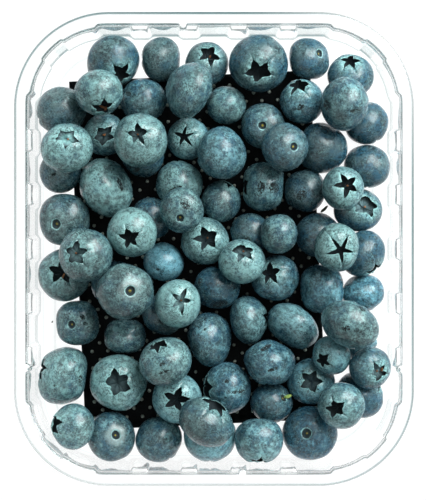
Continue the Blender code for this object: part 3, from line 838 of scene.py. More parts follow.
class BerryMould:
    """Makes the mesh of an upright berry of radius 1, crown up, for one cut of crown."""

    collar = 1.10  # where the lobes grow from, in tips
    wall = 0.03  # thickness of the lobes
    crease = 0.055  # depth of the creases that run on from the opening's points
    puff = 0.048  # how far the lobes swell between the creases
    scar_rings = (0.0, 0.035, 0.06, 0.09, 0.13, 0.150, 0.170, 0.190, 0.215, 0.26, 0.33, 0.41)

    def __init__(self, crown: Crown, seed: int, per_lobe: int, step: float, scarred: bool) -> None:
        """Settles the opening's outline.

        Args:
            crown: the cut of the crown.
            seed: makes its lobes' own unevenness.
            per_lobe: how many points each lobe has round it.
            step: the angle between rings over the berry's sides, in radians.
            scarred: whether the stem's end has its recess.
        """
        self.crown = crown
        self.step = step
        self.scarred = scarred
        chance = np.random.default_rng(seed)
        uneven = crown.ragged
        corners = np.arange(6) * 2 * np.pi / 5
        corners[1:5] += chance.uniform(-0.6, 0.6, 4) * uneven
        reach = crown.tips * (1 + chance.uniform(-0.55, 0.45, 5) * uneven)
        reach = np.append(reach, reach[0])
        waist = crown.waist * (1 + chance.uniform(-1.0, 1.0, 5) * uneven)
        raised = chance.uniform(-0.05, 0.16, 5) * uneven
        share = np.arange(per_lobe) / per_lobe
        crowded = np.where(share < 0.5, 0.5 * (2 * share) ** 1.5, 1 - 0.5 * (2 - 2 * share) ** 1.5)
        inward = 1 - np.abs(1 - 2 * crowded)
        angles, edge, lifts = [], [], []
        for k in range(5):
            tip = reach[k] + (reach[k + 1] - reach[k]) * crowded
            angles.append(corners[k] + (corners[k + 1] - corners[k]) * crowded)
            edge.append(waist[k] + (tip - waist[k]) * (1 - inward) ** crown.taper)
            lifts.append(raised[k] * inward)
        self.angles = np.concatenate(angles)
        self.lifts = np.concatenate(lifts)
        self.inward = np.tile(inward, 5)
        nicks = chance.normal(0, 0.24 * uneven, len(self.angles)) * np.sqrt(self.inward)
        nicks = (nicks + np.roll(nicks, 1)) / 2
        self.edge = np.concatenate(edge) * (1 + nicks)
        self.folds = chance.normal(0, 0.012, len(self.angles))

    def height(self, away: np.ndarray | float) -> np.ndarray:
        """The skin's height at a distance from the axis, over the crown's half, for each point round it."""
        away = np.broadcast_to(away, self.angles.shape)
        collar = self.crown.tips * self.collar
        round_top = np.sqrt(np.maximum(1 - np.square(away), 0))
        flat = 0.075 * np.exp(-np.square(away / 0.5))
        ridge = self.crown.lift * np.exp(-np.square((away - collar) / 0.1))
        near = np.exp(-np.square((away - self.crown.tips * 0.85) / (0.42 * self.crown.tips)))
        swell = self.puff * np.sqrt(self.inward) - self.crease * np.exp(-np.square(self.inward / 0.12))
        return round_top - flat + ridge + near * (swell + self.folds * self.inward)

    def ring(self, away: np.ndarray | float, height: np.ndarray | float) -> np.ndarray:
        """A ring of points at a distance from the axis and a height, either of which may vary round it."""
        spread = np.broadcast_to(away, self.angles.shape)
        level = np.broadcast_to(height, self.angles.shape)
        return np.column_stack((spread * np.cos(self.angles), spread * np.sin(self.angles), level))

    def rings(self) -> tuple[list[np.ndarray], dict[str, list[float]]]:
        """All rings from the stem's end to the cup's middle, with each ring's values by name."""
        points: list[np.ndarray] = []
        values: dict[str, list[float]] = {"lobe": [], "cup": [], "cup_floor": [], "scarred": []}

        def add(ring: np.ndarray, lobe: float = 0.0, cup: float = 0.0, floor: float = 0.0) -> None:
            points.append(ring)
            for name, value in (("lobe", lobe), ("cup", cup), ("cup_floor", floor), ("scarred", float(self.scarred))):
                values[name].append(value)

        for angle in self.scar_rings:
            away = math.sin(angle)
            recess = self.scarred * 0.12 / (1 + math.exp((away - 0.165) / 0.014))
            flat = 0.05 * math.exp(-((away / 0.45) ** 2))
            mound = self.scarred * 0.035 * math.exp(-((away / 0.04) ** 2))
            height = -math.cos(angle) + recess + flat - mound
            add(self.ring(away, height) if angle else np.array([[0.0, 0.0, height]]))
        collar = self.crown.tips * self.collar
        first, last = self.scar_rings[-1], math.pi - math.asin(collar)
        count = round((last - first) / self.step)
        for i in range(1, count):
            angle = first + (last - first) * i / count
            away = math.sin(angle)
            if angle > math.pi / 2:
                near = max(0.0, 1 - (away - collar) / 0.22)
                add(self.ring(away, self.height(away)), lobe=0.4 * near)
            else:
                add(self.ring(away, -math.cos(angle) + 0.05 * math.exp(-((away / 0.45) ** 2))))
        for share in (0.0, 0.2, 0.4, 0.6, 0.78, 0.92, 1.0):
            away = collar + (self.edge - collar) * share
            add(self.ring(away, self.height(away) + self.lifts * share**2), lobe=0.4 + 0.6 * share**2)
        self._cup(add)
        return points, values

    def _cup(self, add: Any) -> None:
        """Adds the rings of the lobes' edge, their underside and the cup below."""
        crown = self.crown
        rim = self.height(self.edge) + self.lifts
        add(self.ring(self.edge * 0.985, rim - self.wall / 2), lobe=1.0, cup=0.3)
        add(self.ring(self.edge + 0.012, rim - self.wall), cup=1.0)
        wall = np.maximum(crown.tips * 1.04, self.edge + 0.02)
        half = (self.edge + wall) / 2
        add(self.ring(half, self.height(half) + self.lifts / 4 - self.wall * 1.3), cup=1.0)
        top = float(np.mean(self.height(crown.tips)))
        floor = top - crown.depth
        add(self.ring(wall, np.minimum(self.height(wall) - self.wall * 2.2, top - 0.05)), cup=1.0)
        add(self.ring(crown.tips, top - 0.62 * crown.depth), cup=1.0)
        for share, rise, pale in ((0.86, 0.08, 0.0), (0.6, 0.02, 0.6), (0.32, 0.0, 1.0), (0.14, 0.01, 0.8)):
            folded = floor + rise + self.folds * 1.5
            add(self.ring(crown.tips * share, folded), cup=1.0, floor=pale * crown.pale_floor)
        add(np.array([[0.0, 0.0, floor + 0.035]]), cup=1.0)

    def build(self, name: str) -> bpy.types.Object:
        """The berry's object, with its rest place and its rings' values on its points."""
        points, values = self.rings()
        bm = loft(points, close_end=False)
        bmesh.ops.recalc_face_normals(bm, faces=bm.faces)
        mesh = mesh_of(name, bm)
        mesh.set_sharp_from_angle(angle=math.radians(70))
        counts = [len(ring) for ring in points]
        for attribute, column in values.items():
            data = mesh.attributes.new(attribute, "FLOAT", "POINT").data
            data.foreach_set("value", np.repeat(column, counts).astype(np.float32))
        rest = mesh.attributes.new("rest", "FLOAT_VECTOR", "POINT").data
        rest.foreach_set("vector", np.concatenate(points).astype(np.float32).ravel())
        return bpy.data.objects.new(name, mesh)


class Spill:
    """The heap: where each berry comes to rest, and the nodes that set the real berries there."""

    squeeze = 0.97  # how near two berries come, as a share of their radii
    clearance = 0.8 * MM
    lumps = 0.075  # how far the berries' skins stray from their round, as a share of their radius
    lobe_points = {Kind.SIDE: 13, Kind.DENTED: 17}
    usual_lobe_points = 16
    ring_steps = {Kind.SIDE: 0.10, Kind.DENTED: 0.070}
    usual_ring_step = 0.09

    def __init__(self, pad: "Pad", floor: float) -> None:
        """Drops the berries.

        Args:
            pad: the pad that they lie on.
            floor: the height of the tray's floor.
        """
        self.pad = pad
        self.floor = floor
        self.middles = self._drop()

    @staticmethod
    def _reach(berry: Berry, heading: Vector) -> float:
        """A berry's radius from above along a heading, in metres."""
        return MM / math.hypot(heading.x / (berry.width / 2), heading.y / (berry.length / 2))

    def _rest_height(self, x: float, y: float, radius: float) -> float:
        """Where a berry's middle stands on the floor or on the pad, whose edge it may lean on."""
        beside = self.pad.distance(x, y)
        base = self.floor + self.clearance
        if beside >= radius:
            return base + radius
        return max(base + radius, base + self.pad.thickness + math.sqrt(radius**2 - beside**2))

    def _drop(self) -> list[Vector]:
        """Each berry's middle, dropped straight down onto those below it."""
        middles: list[Vector] = []
        for berry in BERRIES:
            x, y = berry.x * MM, berry.y * MM
            height = self._rest_height(x, y, min(berry.width, berry.length) * MM / 2)
            for other, middle in zip(BERRIES, middles):
                gap = Vector((x - middle.x, y - middle.y))
                heading = gap.normalized()
                reach = self.squeeze * (self._reach(berry, heading) + self._reach(other, heading))
                if gap.length < reach:
                    height = max(height, middle.z + math.sqrt(reach**2 - gap.length**2))
            middles.append(Vector((x, y, height)))
        return middles

    def _places(self, kind: Kind) -> bpy.types.Object:
        """A mesh of one point for each berry of a kind, with what the nodes need to know of it."""
        chosen = [(i, berry) for i, berry in enumerate(BERRIES) if berry.kind is kind]
        mesh = bpy.data.meshes.new(kind.value)
        mesh.from_pydata([self.middles[i] for i, _ in chosen], [], [])
        values: dict[str, tuple[str, str, list[Any]]] = {
            "turning": ("QUATERNION", "value", [berry.turning() for _, berry in chosen]),
            "radii": ("FLOAT_VECTOR", "vector", [self._scale(berry) for _, berry in chosen]),
            "fit": ("FLOAT_VECTOR", "vector", [berry.fit() for _, berry in chosen]),
            "middle": ("FLOAT_VECTOR", "vector", [self.middles[i] for i, _ in chosen]),
            "number": ("INT", "value", [i for i, _ in chosen]),
            "cut": ("INT", "value", [self._cuts(kind).index(berry.crown) for _, berry in chosen]),
            "corners": ("FLOAT_VECTOR", "vector", [self._corners(berry) for _, berry in chosen]),
            "seed": ("FLOAT", "value", [i + 1.0 for i, _ in chosen]),
            # bloom, which also carries painted shade
            "bloom": ("FLOAT", "value", [berry.bloom for _, berry in chosen]),
            "blue": ("FLOAT", "value", [berry.blue for _, berry in chosen]),
            "halo": ("FLOAT", "value", [berry.halo for _, berry in chosen]),
        }
        for name, (data_type, field, column) in values.items():
            data = mesh.attributes.new(name, data_type, "POINT").data
            data.foreach_set(field, np.array(column, np.int32 if data_type == "INT" else np.float32).ravel())
        return new_object(kind.value, mesh)

    @staticmethod
    def _scale(berry: Berry) -> Vector:
        """A berry's scale along its own axes, in metres."""
        girth, half = berry.radii()
        return Vector((girth, girth, half)) * MM

    @staticmethod
    def _corners(berry: Berry) -> tuple[float, float, float]:
        """How many corners a berry's outline has, how strong they are, and where one is, in radians."""
        count, strength, angle = berry.corners
        return count, strength, math.radians(angle)

    @staticmethod
    def _cuts(kind: Kind) -> list[Crown]:
        """The different crowns of a kind, in the order in which they come."""
        return list(dict.fromkeys(berry.crown for berry in BERRIES if berry.kind is kind))

    def _moulds(self, kind: Kind) -> bpy.types.Collection:
        """A collection of the upright berries that a kind is made from."""
        home = bpy.data.collections.new(kind.value + "_moulds")
        points = self.lobe_points.get(kind, self.usual_lobe_points)
        step = self.ring_steps.get(kind, self.usual_ring_step)
        for i, crown in enumerate(self._cuts(kind)):
            scarred = kind not in (Kind.SIDE, Kind.DENTED)
            mould = BerryMould(crown, 40 * list(Kind).index(kind) + i, points, step, scarred)
            home.objects.link(mould.build(f"mould_{i:02}_{kind.value}"))
        return home

    def tree(self, effects: Effects) -> Graph:
        """The nodes that set a mould on each point, turn and size it, and make its skin uneven."""
        inputs = {
            "Geometry": "Geometry",
            "Moulds": "Collection",
            "Lumps": "Float",
            "Dimples": "Float",
            "Skin": "Material",
        }
        graph = group_tree("set_berries", "GeometryNodeTree", inputs, {"Geometry": "Geometry"})
        given, result = ends(graph)

        def named(name: str, data_type: str) -> Socket:
            node = graph.node("GeometryNodeInputNamedAttribute", data_type=data_type)
            node.inputs["Name"].default_value = name
            return node.outputs["Attribute"]

        moulds = graph.node("GeometryNodeCollectionInfo", {"Collection": given.outputs["Moulds"]})
        moulds.inputs["Separate Children"].default_value = True
        moulds.inputs["Reset Children"].default_value = True
        placed = graph.node(
            "GeometryNodeInstanceOnPoints",
            {
                "Points": given.outputs["Geometry"],
                "Instance": moulds.outputs[0],
                "Pick Instance": True,
                "Instance Index": named("cut", "INT"),
                "Rotation": named("turning", "QUATERNION"),
                "Scale": named("radii", "FLOAT_VECTOR"),
            },
        )
        real = graph.node("GeometryNodeRealizeInstances", {"Geometry": placed.outputs[0]})
        seed = named("seed", "FLOAT")
        rest = named("rest", "FLOAT_VECTOR")
        lumps = self._noise(graph, rest, seed, 0.95, given.outputs["Lumps"])
        dimples = self._noise(graph, rest, seed, 2.6, given.outputs["Dimples"])
        middle = named("middle", "FLOAT_VECTOR")
        position = graph.node("GeometryNodeInputPosition").outputs[0]
        outward = graph.vector("SUBTRACT", position, middle)
        cornered = self._cornered(graph, outward, named("corners", "FLOAT_VECTOR"))
        swell = graph.math("ADD", graph.math("ADD", 1.0, cornered), graph.math("ADD", lumps, dimples))
        shaped = graph.vector("MULTIPLY", graph.vector("SCALE", outward, swell), named("fit", "FLOAT_VECTOR"))
        moved = graph.node(
            "GeometryNodeSetPosition",
            {"Geometry": real.outputs[0], "Position": graph.vector("ADD", middle, shaped)},
        )
        dressed = graph.node(
            "GeometryNodeSetMaterial", {"Geometry": moved.outputs[0], "Material": given.outputs["Skin"]}
        )
        graph.feed(result.inputs["Geometry"], dressed.outputs[0])
        return graph

    @staticmethod
    def _cornered(graph: Graph, outward: Socket, corners: Socket) -> Socket:
        """How much the outline from above swells at its corners and draws in between them."""
        corner = graph.node("ShaderNodeSeparateXYZ", {0: corners}).outputs
        place = graph.node("ShaderNodeSeparateXYZ", {0: outward}).outputs
        around = graph.math("ARCTAN2", place["Y"], place["X"])
        phase = graph.math("MULTIPLY", graph.math("SUBTRACT", around, corner["Z"]), corner["X"])
        flat = graph.length(graph.vector("MULTIPLY", outward, (1.0, 1.0, 0.0)))
        level = graph.math("DIVIDE", flat, graph.math("MAXIMUM", graph.length(outward), 1e-6))
        strength = graph.math("MULTIPLY", corner["Y"], graph.math("MULTIPLY", level, level))
        return graph.math("MULTIPLY", graph.math("COSINE", phase), strength)

    @staticmethod
    def _noise(graph: Graph, rest: Socket, seed: Socket, scale: float, amount: Socket) -> Socket:
        """Noise about zero over a berry's skin, different for each seed."""
        inputs = {"Vector": rest, "W": seed, "Scale": scale, "Detail": 1.0}
        noise = graph.node("ShaderNodeTexNoise", inputs, noise_dimensions="4D")
        about_zero = graph.math("SUBTRACT", noise.outputs[0], 0.5)
        return graph.math("MULTIPLY", about_zero, graph.math("MULTIPLY", amount, 2.0))

    def build(self, effects: Effects, skin: bpy.types.Material) -> list[bpy.types.Object]:
        """Makes one piece for each kind of berry.

        Args:
            effects: the shared shader groups, which are not used.
            skin: the berries' material.

        Returns:
            The pieces.
        """
        tree = self.tree(effects)
        pieces = []
        for kind in Kind:
            values = {"Moulds": self._moulds(kind), "Lumps": self.lumps, "Dimples": 0.012, "Skin": skin}
            piece = run_modifier(self._places(kind), tree, values)
            Marks.apply(piece)
            pieces.append(piece)
        return pieces


@dataclass(frozen=True)
class Mark:
    """A scuff, dent or crack: its berry, its place and size in millimetres, its angle and how deep it is."""

    berry: int
    x: float
    y: float
    long: float
    wide: float
    angle: float = 0.0
    depth: float = 0.0
    dark: float = 1.0


class Marks:
    """The scuffs, dents and cracks on single berries."""

    all = (
        Mark(7, -26.5, 47.8, 2.0, 1.6, depth=0.35, dark=0.5),
        Mark(14, -49.5, 23.0, 1.3, 1.0, dark=0.9),
        Mark(16, -24.0, 24.3, 2.2, 1.0, 30, depth=0.3),
        Mark(17, 14.5, 19.0, 3.4, 1.8, 80),
        Mark(17, 18.5, 18.8, 2.6, 2.6, 0),
        Mark(19, -12.0, 18.5, 4.0, 0.9, 20, depth=0.2, dark=0.8),
        Mark(21, 10.3, 3.0, 2.0, 1.4, 0, dark=0.6),
        Mark(22, 27.0, 16.5, 3.2, 2.6, 40, dark=0.7),
        Mark(23, 48.5, 31.0, 2.4, 1.4, 0, depth=0.4),
        Mark(27, -17.5, -6.5, 1.6, 1.2, 0, depth=0.3, dark=0.4),
        Mark(30, 1.5, -17.0, 4.4, 1.8, 10, depth=0.5),
        Mark(30, -4.5, -10.0, 2.0, 1.2, 60),
        Mark(35, -16.0, -22.5, 2.0, 1.1, -30, depth=0.3),
        Mark(36, -40.5, -21.0, 1.8, 1.2, -50, depth=0.3, dark=0.8),
        Mark(36, -39.6, -23.0, 1.6, 1.0, -20, depth=0.2, dark=0.7),
        Mark(39, -2.6, -24.6, 3.4, 1.4, 40, dark=0.35),
        Mark(42, -41.0, -40.5, 1.6, 4.4, 0, dark=0.42),
        Mark(42, -49.0, -42.0, 2.0, 1.6, 0, dark=0.35),
        Mark(46, 18.0, -37.0, 2.6, 0.8, 20, depth=0.15),
        Mark(46, 16.0, -30.3, 3.2, 1.1, 30, depth=0.3),
        Mark(55, 26.0, 43.5, 3.8, 2.0, 20, dark=0.55),
        Mark(58, 7.0, -44.0, 4.6, 1.0, 10, depth=0.35, dark=0.7),
        Mark(58, 4.0, -40.8, 1.2, 1.0, 0),
        Mark(59, -29.0, 20.0, 1.4, 4.4, 20, dark=0.6),
        Mark(65, -8.8, 13.8, 4.2, 3.0, -60, dark=0.45),
        Mark(70, 34.6, 44.0, 1.6, 2.8, 10, depth=0.4, dark=0.8),
        Mark(70, 42.6, 42.2, 5.2, 0.9, 10, depth=0.35, dark=0.7),
        Mark(75, 40.3, -24.2, 2.2, 1.3, 0),
        Mark(75, 43.8, -25.0, 2.6, 1.2, -10, dark=0.6),
        Mark(75, 45.0, -18.2, 2.4, 1.0, -30, dark=0.9),
        Mark(78, -15.8, -35.2, 1.7, 1.1, 40, depth=0.3),
        Mark(78, -15.4, -37.7, 3.4, 0.8, 15, depth=0.15, dark=0.8),
    )

    @classmethod
    def apply(cls, piece: bpy.types.Object) -> None:
        """Presses the marks into a piece's berries and darkens them there.

        Args:
            piece: a piece of berries, with the number of its berry on each point.
        """
        mesh = piece.data
        count = len(mesh.vertices)
        points = np.empty(count * 3, np.float32)
        mesh.vertices.foreach_get("co", points)
        points = points.reshape(-1, 3)
        normals = np.empty(count * 3, np.float32)
        mesh.vertices.foreach_get("normal", normals)
        normals = normals.reshape(-1, 3)
        number = np.empty(count, np.int32)
        mesh.attributes["number"].data.foreach_get("value", number)
        scuff = np.zeros(count, np.float32)
        for mark in cls.all:
            angle = math.radians(mark.angle)
            offset = points[:, :2] - np.array([mark.x, mark.y]) * MM
            along = offset @ np.array([math.cos(angle), math.sin(angle)])
            across = offset @ np.array([-math.sin(angle), math.cos(angle)])
            away = np.hypot(along / (mark.long * MM / 2), across / (mark.wide * MM / 2))
            inside = (number == mark.berry) & (normals[:, 2] > 0.1)
            share = np.where(inside, np.clip(1.6 - away, 0, 1), 0)
            scuff = np.maximum(scuff, share * mark.dark)
            points -= normals * (share**2 * mark.depth * MM)[:, None]
        mesh.vertices.foreach_set("co", points.ravel())
        mesh.attributes.new("scuff", "FLOAT", "POINT").data.foreach_set("value", scuff)
        mesh.update()


@dataclass(frozen=True)
class Crumb:
    """A bit that lies on what is under it: its place and size in millimetres, and its angle in degrees."""

    x: float
    y: float
    long: float
    wide: float
    angle: float = 0.0
    tilt: float = 0.0  # degrees that its far end is raised


@dataclass(frozen=True)
class Crumbs:
    """One piece of small bits of one kind, such as what the flowers left in the crowns."""

    name: str
    bits: tuple[Crumb, ...]
    uneven: float = 0.25
    thickness: float = 0.7

    def build(self, pieces: list[bpy.types.Object], look: bpy.types.Material) -> bpy.types.Object:
        """Lays each bit on the highest surface under it.

        Args:
            pieces: what the bits may lie on.
            look: the bits' material.

        Returns:
            The piece.
        """
        bm = bmesh.new()
        for number, bit in enumerate(self.bits):
            chance = np.random.default_rng(number)
            made = bmesh.ops.create_icosphere(bm, subdivisions=2, radius=1.0)["verts"]
            size = Vector((bit.long, bit.wide, bit.wide * self.thickness)) * MM / 2
            for vert in made:
                bend = Vector((0.0, 0.3 * vert.co.x**2, 0.0))
                vert.co = vert.co * (1 + self.uneven * chance.uniform(-1, 1)) + bend
                vert.co = Vector(a * b for a, b in zip(vert.co, size))
            place = Vector((bit.x * MM, bit.y * MM, self._top(pieces, bit) + size.z * 0.6))
            turned = Matrix.Rotation(math.radians(bit.angle), 4, "Z") @ Matrix.Rotation(math.radians(-bit.tilt), 4, "Y")
            bmesh.ops.transform(bm, matrix=Matrix.Translation(place) @ turned, verts=made)
        return new_object(self.name, mesh_of(self.name, bm, look))

    @staticmethod
    def _top(pieces: list[bpy.types.Object], bit: Crumb) -> float:
        """The height of the highest surface under a bit."""
        start = Vector((bit.x * MM, bit.y * MM, 1.0))
        hits = [piece.ray_cast(start, Vector((0, 0, -1))) for piece in pieces]
        return max(place.z for found, place, _, _ in hits if found)


FLOWER_BITS = (
    Crumb(-1.2, 59.4, 0.9, 0.6, 60),
    Crumb(-33.9, 35.2, 1.0, 0.7, 20),
    Crumb(46.6, 13.0, 0.7, 0.6),
    Crumb(-2.0, 3.4, 0.7, 0.6),
    Crumb(-46.5, -8.4, 2.2, 0.7, 65),
    Crumb(-42.2, -1.3, 0.7, 0.6),
    Crumb(-10.0, -15.8, 0.7, 0.6),
    Crumb(9.1, -0.8, 0.7, 0.6),
    Crumb(-34.2, 43.6, 2.8, 0.8, -20),
    Crumb(-33.3, 43.0, 1.7, 0.7, 70),
    Crumb(-44.7, 33.6, 0.7, 0.5),
    Crumb(-23.3, 35.0, 0.7, 0.6),
    Crumb(41.0, 19.4, 0.7, 0.6),
    Crumb(51.6, -37.1, 1.3, 0.8, 80),
    Crumb(50.0, -37.5, 0.7, 0.6),
)
STEM_BITS = (
    Crumb(34.4, 12.4, 2.7, 0.9, 40),
    Crumb(-50.3, -22.7, 0.7, 0.4, 60),
)
STALKS = (Crumb(22.7, -45.6, 2.6, 1.2, 8, 20),)


# Pad


@dataclass(frozen=True)
class Pad:
    """The absorbent pad: a black film with rows of small pale dots."""

    width: float = 75.1 * MM
    length: float = 108.5 * MM
    thickness: float = 1.2 * MM
    middle: tuple[float, float] = (-5.0 * MM, -0.4 * MM)
    turn: float = math.radians(2.7)
    base: float = 0.0
    columns: int = 16
    rows: int = 42
    column_pitch: float = 4.9 * MM
    row_pitch: float = 2.6 * MM
    dot_radius: float = 0.58 * MM

    def frame(self) -> Matrix:
        """From the pad's own plane to the tray's."""
        return Matrix.Translation((*self.middle, self.base)) @ Matrix.Rotation(self.turn, 4, "Z")

    def distance(self, x: float, y: float) -> float:
        """How far a place is outside the pad's outline from above."""
        local = self.frame().inverted() @ Vector((x, y, self.base))
        beyond_x = max(abs(local.x) - self.width / 2, 0)
        beyond_y = max(abs(local.y) - self.length / 2, 0)
        return math.hypot(beyond_x, beyond_y)

    def film(self, look: bpy.types.Material) -> bpy.types.Object:
        """The film, quilted a little between its sealed edges."""
        bm = bmesh.new()
        bmesh.ops.create_grid(bm, x_segments=76, y_segments=108, size=0.5)
        for vert in bm.verts:
            u, v = vert.co.x * 2, vert.co.y * 2
            edge = min(1 - abs(u), (1 - abs(v)) * self.length / self.width) * self.width / 2
            swell = min(edge / (2.5 * MM), 1.0) ** 0.5
            wave = math.sin(u * 9 + 2 * v) * math.sin(v * 13 - u) * 0.06 * MM
            height = 0.25 * self.thickness + 0.7 * self.thickness * swell + wave * swell
            vert.co = Vector((u * self.width / 2, v * self.length / 2, height))
        top = list(bm.faces)
        bmesh.ops.recalc_face_normals(bm, faces=top)
        for face in top:
            if face.normal.z < 0:
                face.normal_flip()
        made = bmesh.ops.extrude_edge_only(bm, edges=[e for e in bm.edges if e.is_boundary])
        skirt = [v for v in made["geom"] if isinstance(v, bmesh.types.BMVert)]
        for vert in skirt:
            vert.co.z = 0.05 * self.thickness
        bmesh.ops.holes_fill(bm, edges=[e for e in bm.edges if e.is_boundary], sides=0)
        bmesh.ops.recalc_face_normals(bm, faces=bm.faces)
        bm.transform(self.frame())
        return new_object("pad_film", mesh_of("pad_film", bm, look))

    def dots(self, look: bpy.types.Material) -> bpy.types.Object:
        """The dots, set in staggered rows by nodes."""
        inputs = {
            "Geometry": "Geometry",
            "Columns": "Int",
            "Rows": "Int",
            "Column pitch": "Float",
            "Row pitch": "Float",
            "Radius": "Float",
            "Height": "Float",
            "Look": "Material",
        }
        graph = group_tree("pad_dots", "GeometryNodeTree", inputs, {"Geometry": "Geometry"})
        given, result = ends(graph)
        columns, rows = given.outputs["Columns"], given.outputs["Rows"]
        pitch, row_pitch = given.outputs["Column pitch"], given.outputs["Row pitch"]
        grid = graph.node(
            "GeometryNodeMeshGrid",
            {
                "Size X": graph.math("MULTIPLY", graph.math("SUBTRACT", columns, 1.0), pitch),
                "Size Y": graph.math("MULTIPLY", graph.math("SUBTRACT", rows, 1.0), row_pitch),
                "Vertices X": columns,
                "Vertices Y": rows,
            },
        )
        index = graph.node("GeometryNodeInputIndex").outputs[0]
        odd = graph.math("MODULO", graph.math("MODULO", index, rows), 2.0)
        shift = graph.node("ShaderNodeCombineXYZ", {"X": graph.math("MULTIPLY", odd, graph.math("MULTIPLY", pitch, 0.5))})
        staggered = graph.node("GeometryNodeSetPosition", {"Geometry": grid.outputs[0], "Offset": shift.outputs[0]})
        cone = graph.node(
            "GeometryNodeMeshCone",
            {
                "Vertices": 12,
                "Side Segments": 1,
                "Radius Top": graph.math("MULTIPLY", given.outputs["Radius"], 0.55),
                "Radius Bottom": given.outputs["Radius"],
                "Depth": given.outputs["Height"],
            },
        )
        placed = graph.node(
            "GeometryNodeInstanceOnPoints", {"Points": staggered.outputs[0], "Instance": cone.outputs[0]}
        )
        real = graph.node("GeometryNodeRealizeInstances", {"Geometry": placed.outputs[0]})
        dressed = graph.node("GeometryNodeSetMaterial", {"Geometry": real.outputs[0], "Material": given.outputs["Look"]})
        graph.feed(result.inputs["Geometry"], dressed.outputs[0])
        values = {
            "Columns": self.columns,
            "Rows": self.rows,
            "Column pitch": self.column_pitch,
            "Row pitch": self.row_pitch,
            "Radius": self.dot_radius,
            "Height": 0.35 * MM,
            "Look": look,
        }
        dots = run_modifier(new_object("pad_dots", bpy.data.meshes.new("pad_dots")), graph, values)
        self._trim(dots)
        return dots

    def _trim(self, dots: bpy.types.Object) -> None:
        """Drops the dots that pass the film's edge, and sets the rest on the film."""
        bm = bmesh.new()
        bm.from_mesh(dots.data)
        margin = 2.2 * MM
        outside = [
            vert
            for vert in bm.verts
            if abs(vert.co.x) > self.width / 2 - margin or abs(vert.co.y) > self.length / 2 - margin
        ]
        islands = set()
        for vert in outside:
            stack = [vert]
            while stack:
                here = stack.pop()
                if here in islands:
                    continue
                islands.add(here)
                stack += [edge.other_vert(here) for edge in here.link_edges]
        bmesh.ops.delete(bm, geom=list(islands), context="VERTS")
        bmesh.ops.translate(bm, verts=bm.verts, vec=(0, 0, self.thickness * 0.97))
        bm.transform(self.frame())
        bm.to_mesh(dots.data)
        bm.free()
        dots.data.shade_smooth()


# Tray


class Seen(Enum):
    """How the painted reflection and shade on an edge changes round the tray.

    Its middle strength, how much more towards +X and +Y, and how much of it the corner between them loses.
    """

    EVENLY = (1.0, 0.0, 0.0, 0.0)
    LIP = (0.68, 0.20, 0.34, 0.80)
    SHOULDER = (0.84, -0.32, 0.48, 0.15)
    FOOT = (0.45, -0.20, 0.55, 0.0)


@dataclass(frozen=True)
class Level:
    """One level of the tray's sheet: how far in and how high, and how much each feature shows there."""

    inset: float
    height: float
    flute: float = 0.0
    spread: float = 0.0
    step: float = 0.0
    lug: float = 0.0
    # how much painted reflection and shade the sheet shows at this level
    edge: float = 0.0
    seen: Seen = Seen.EVENLY


@dataclass(frozen=True)
class TraySide:
    """One side of the tray, anticlockwise from +X."""

    along: Vector
    inward: Vector
    half: float
    straight: float
    panels: int
    pitch: float
    lug: float
    # painted reflection and shade on the side's outward panels and on its flutes
    panel_painted_shade: float = 0.0
    flute_painted_shade: float = 0.0


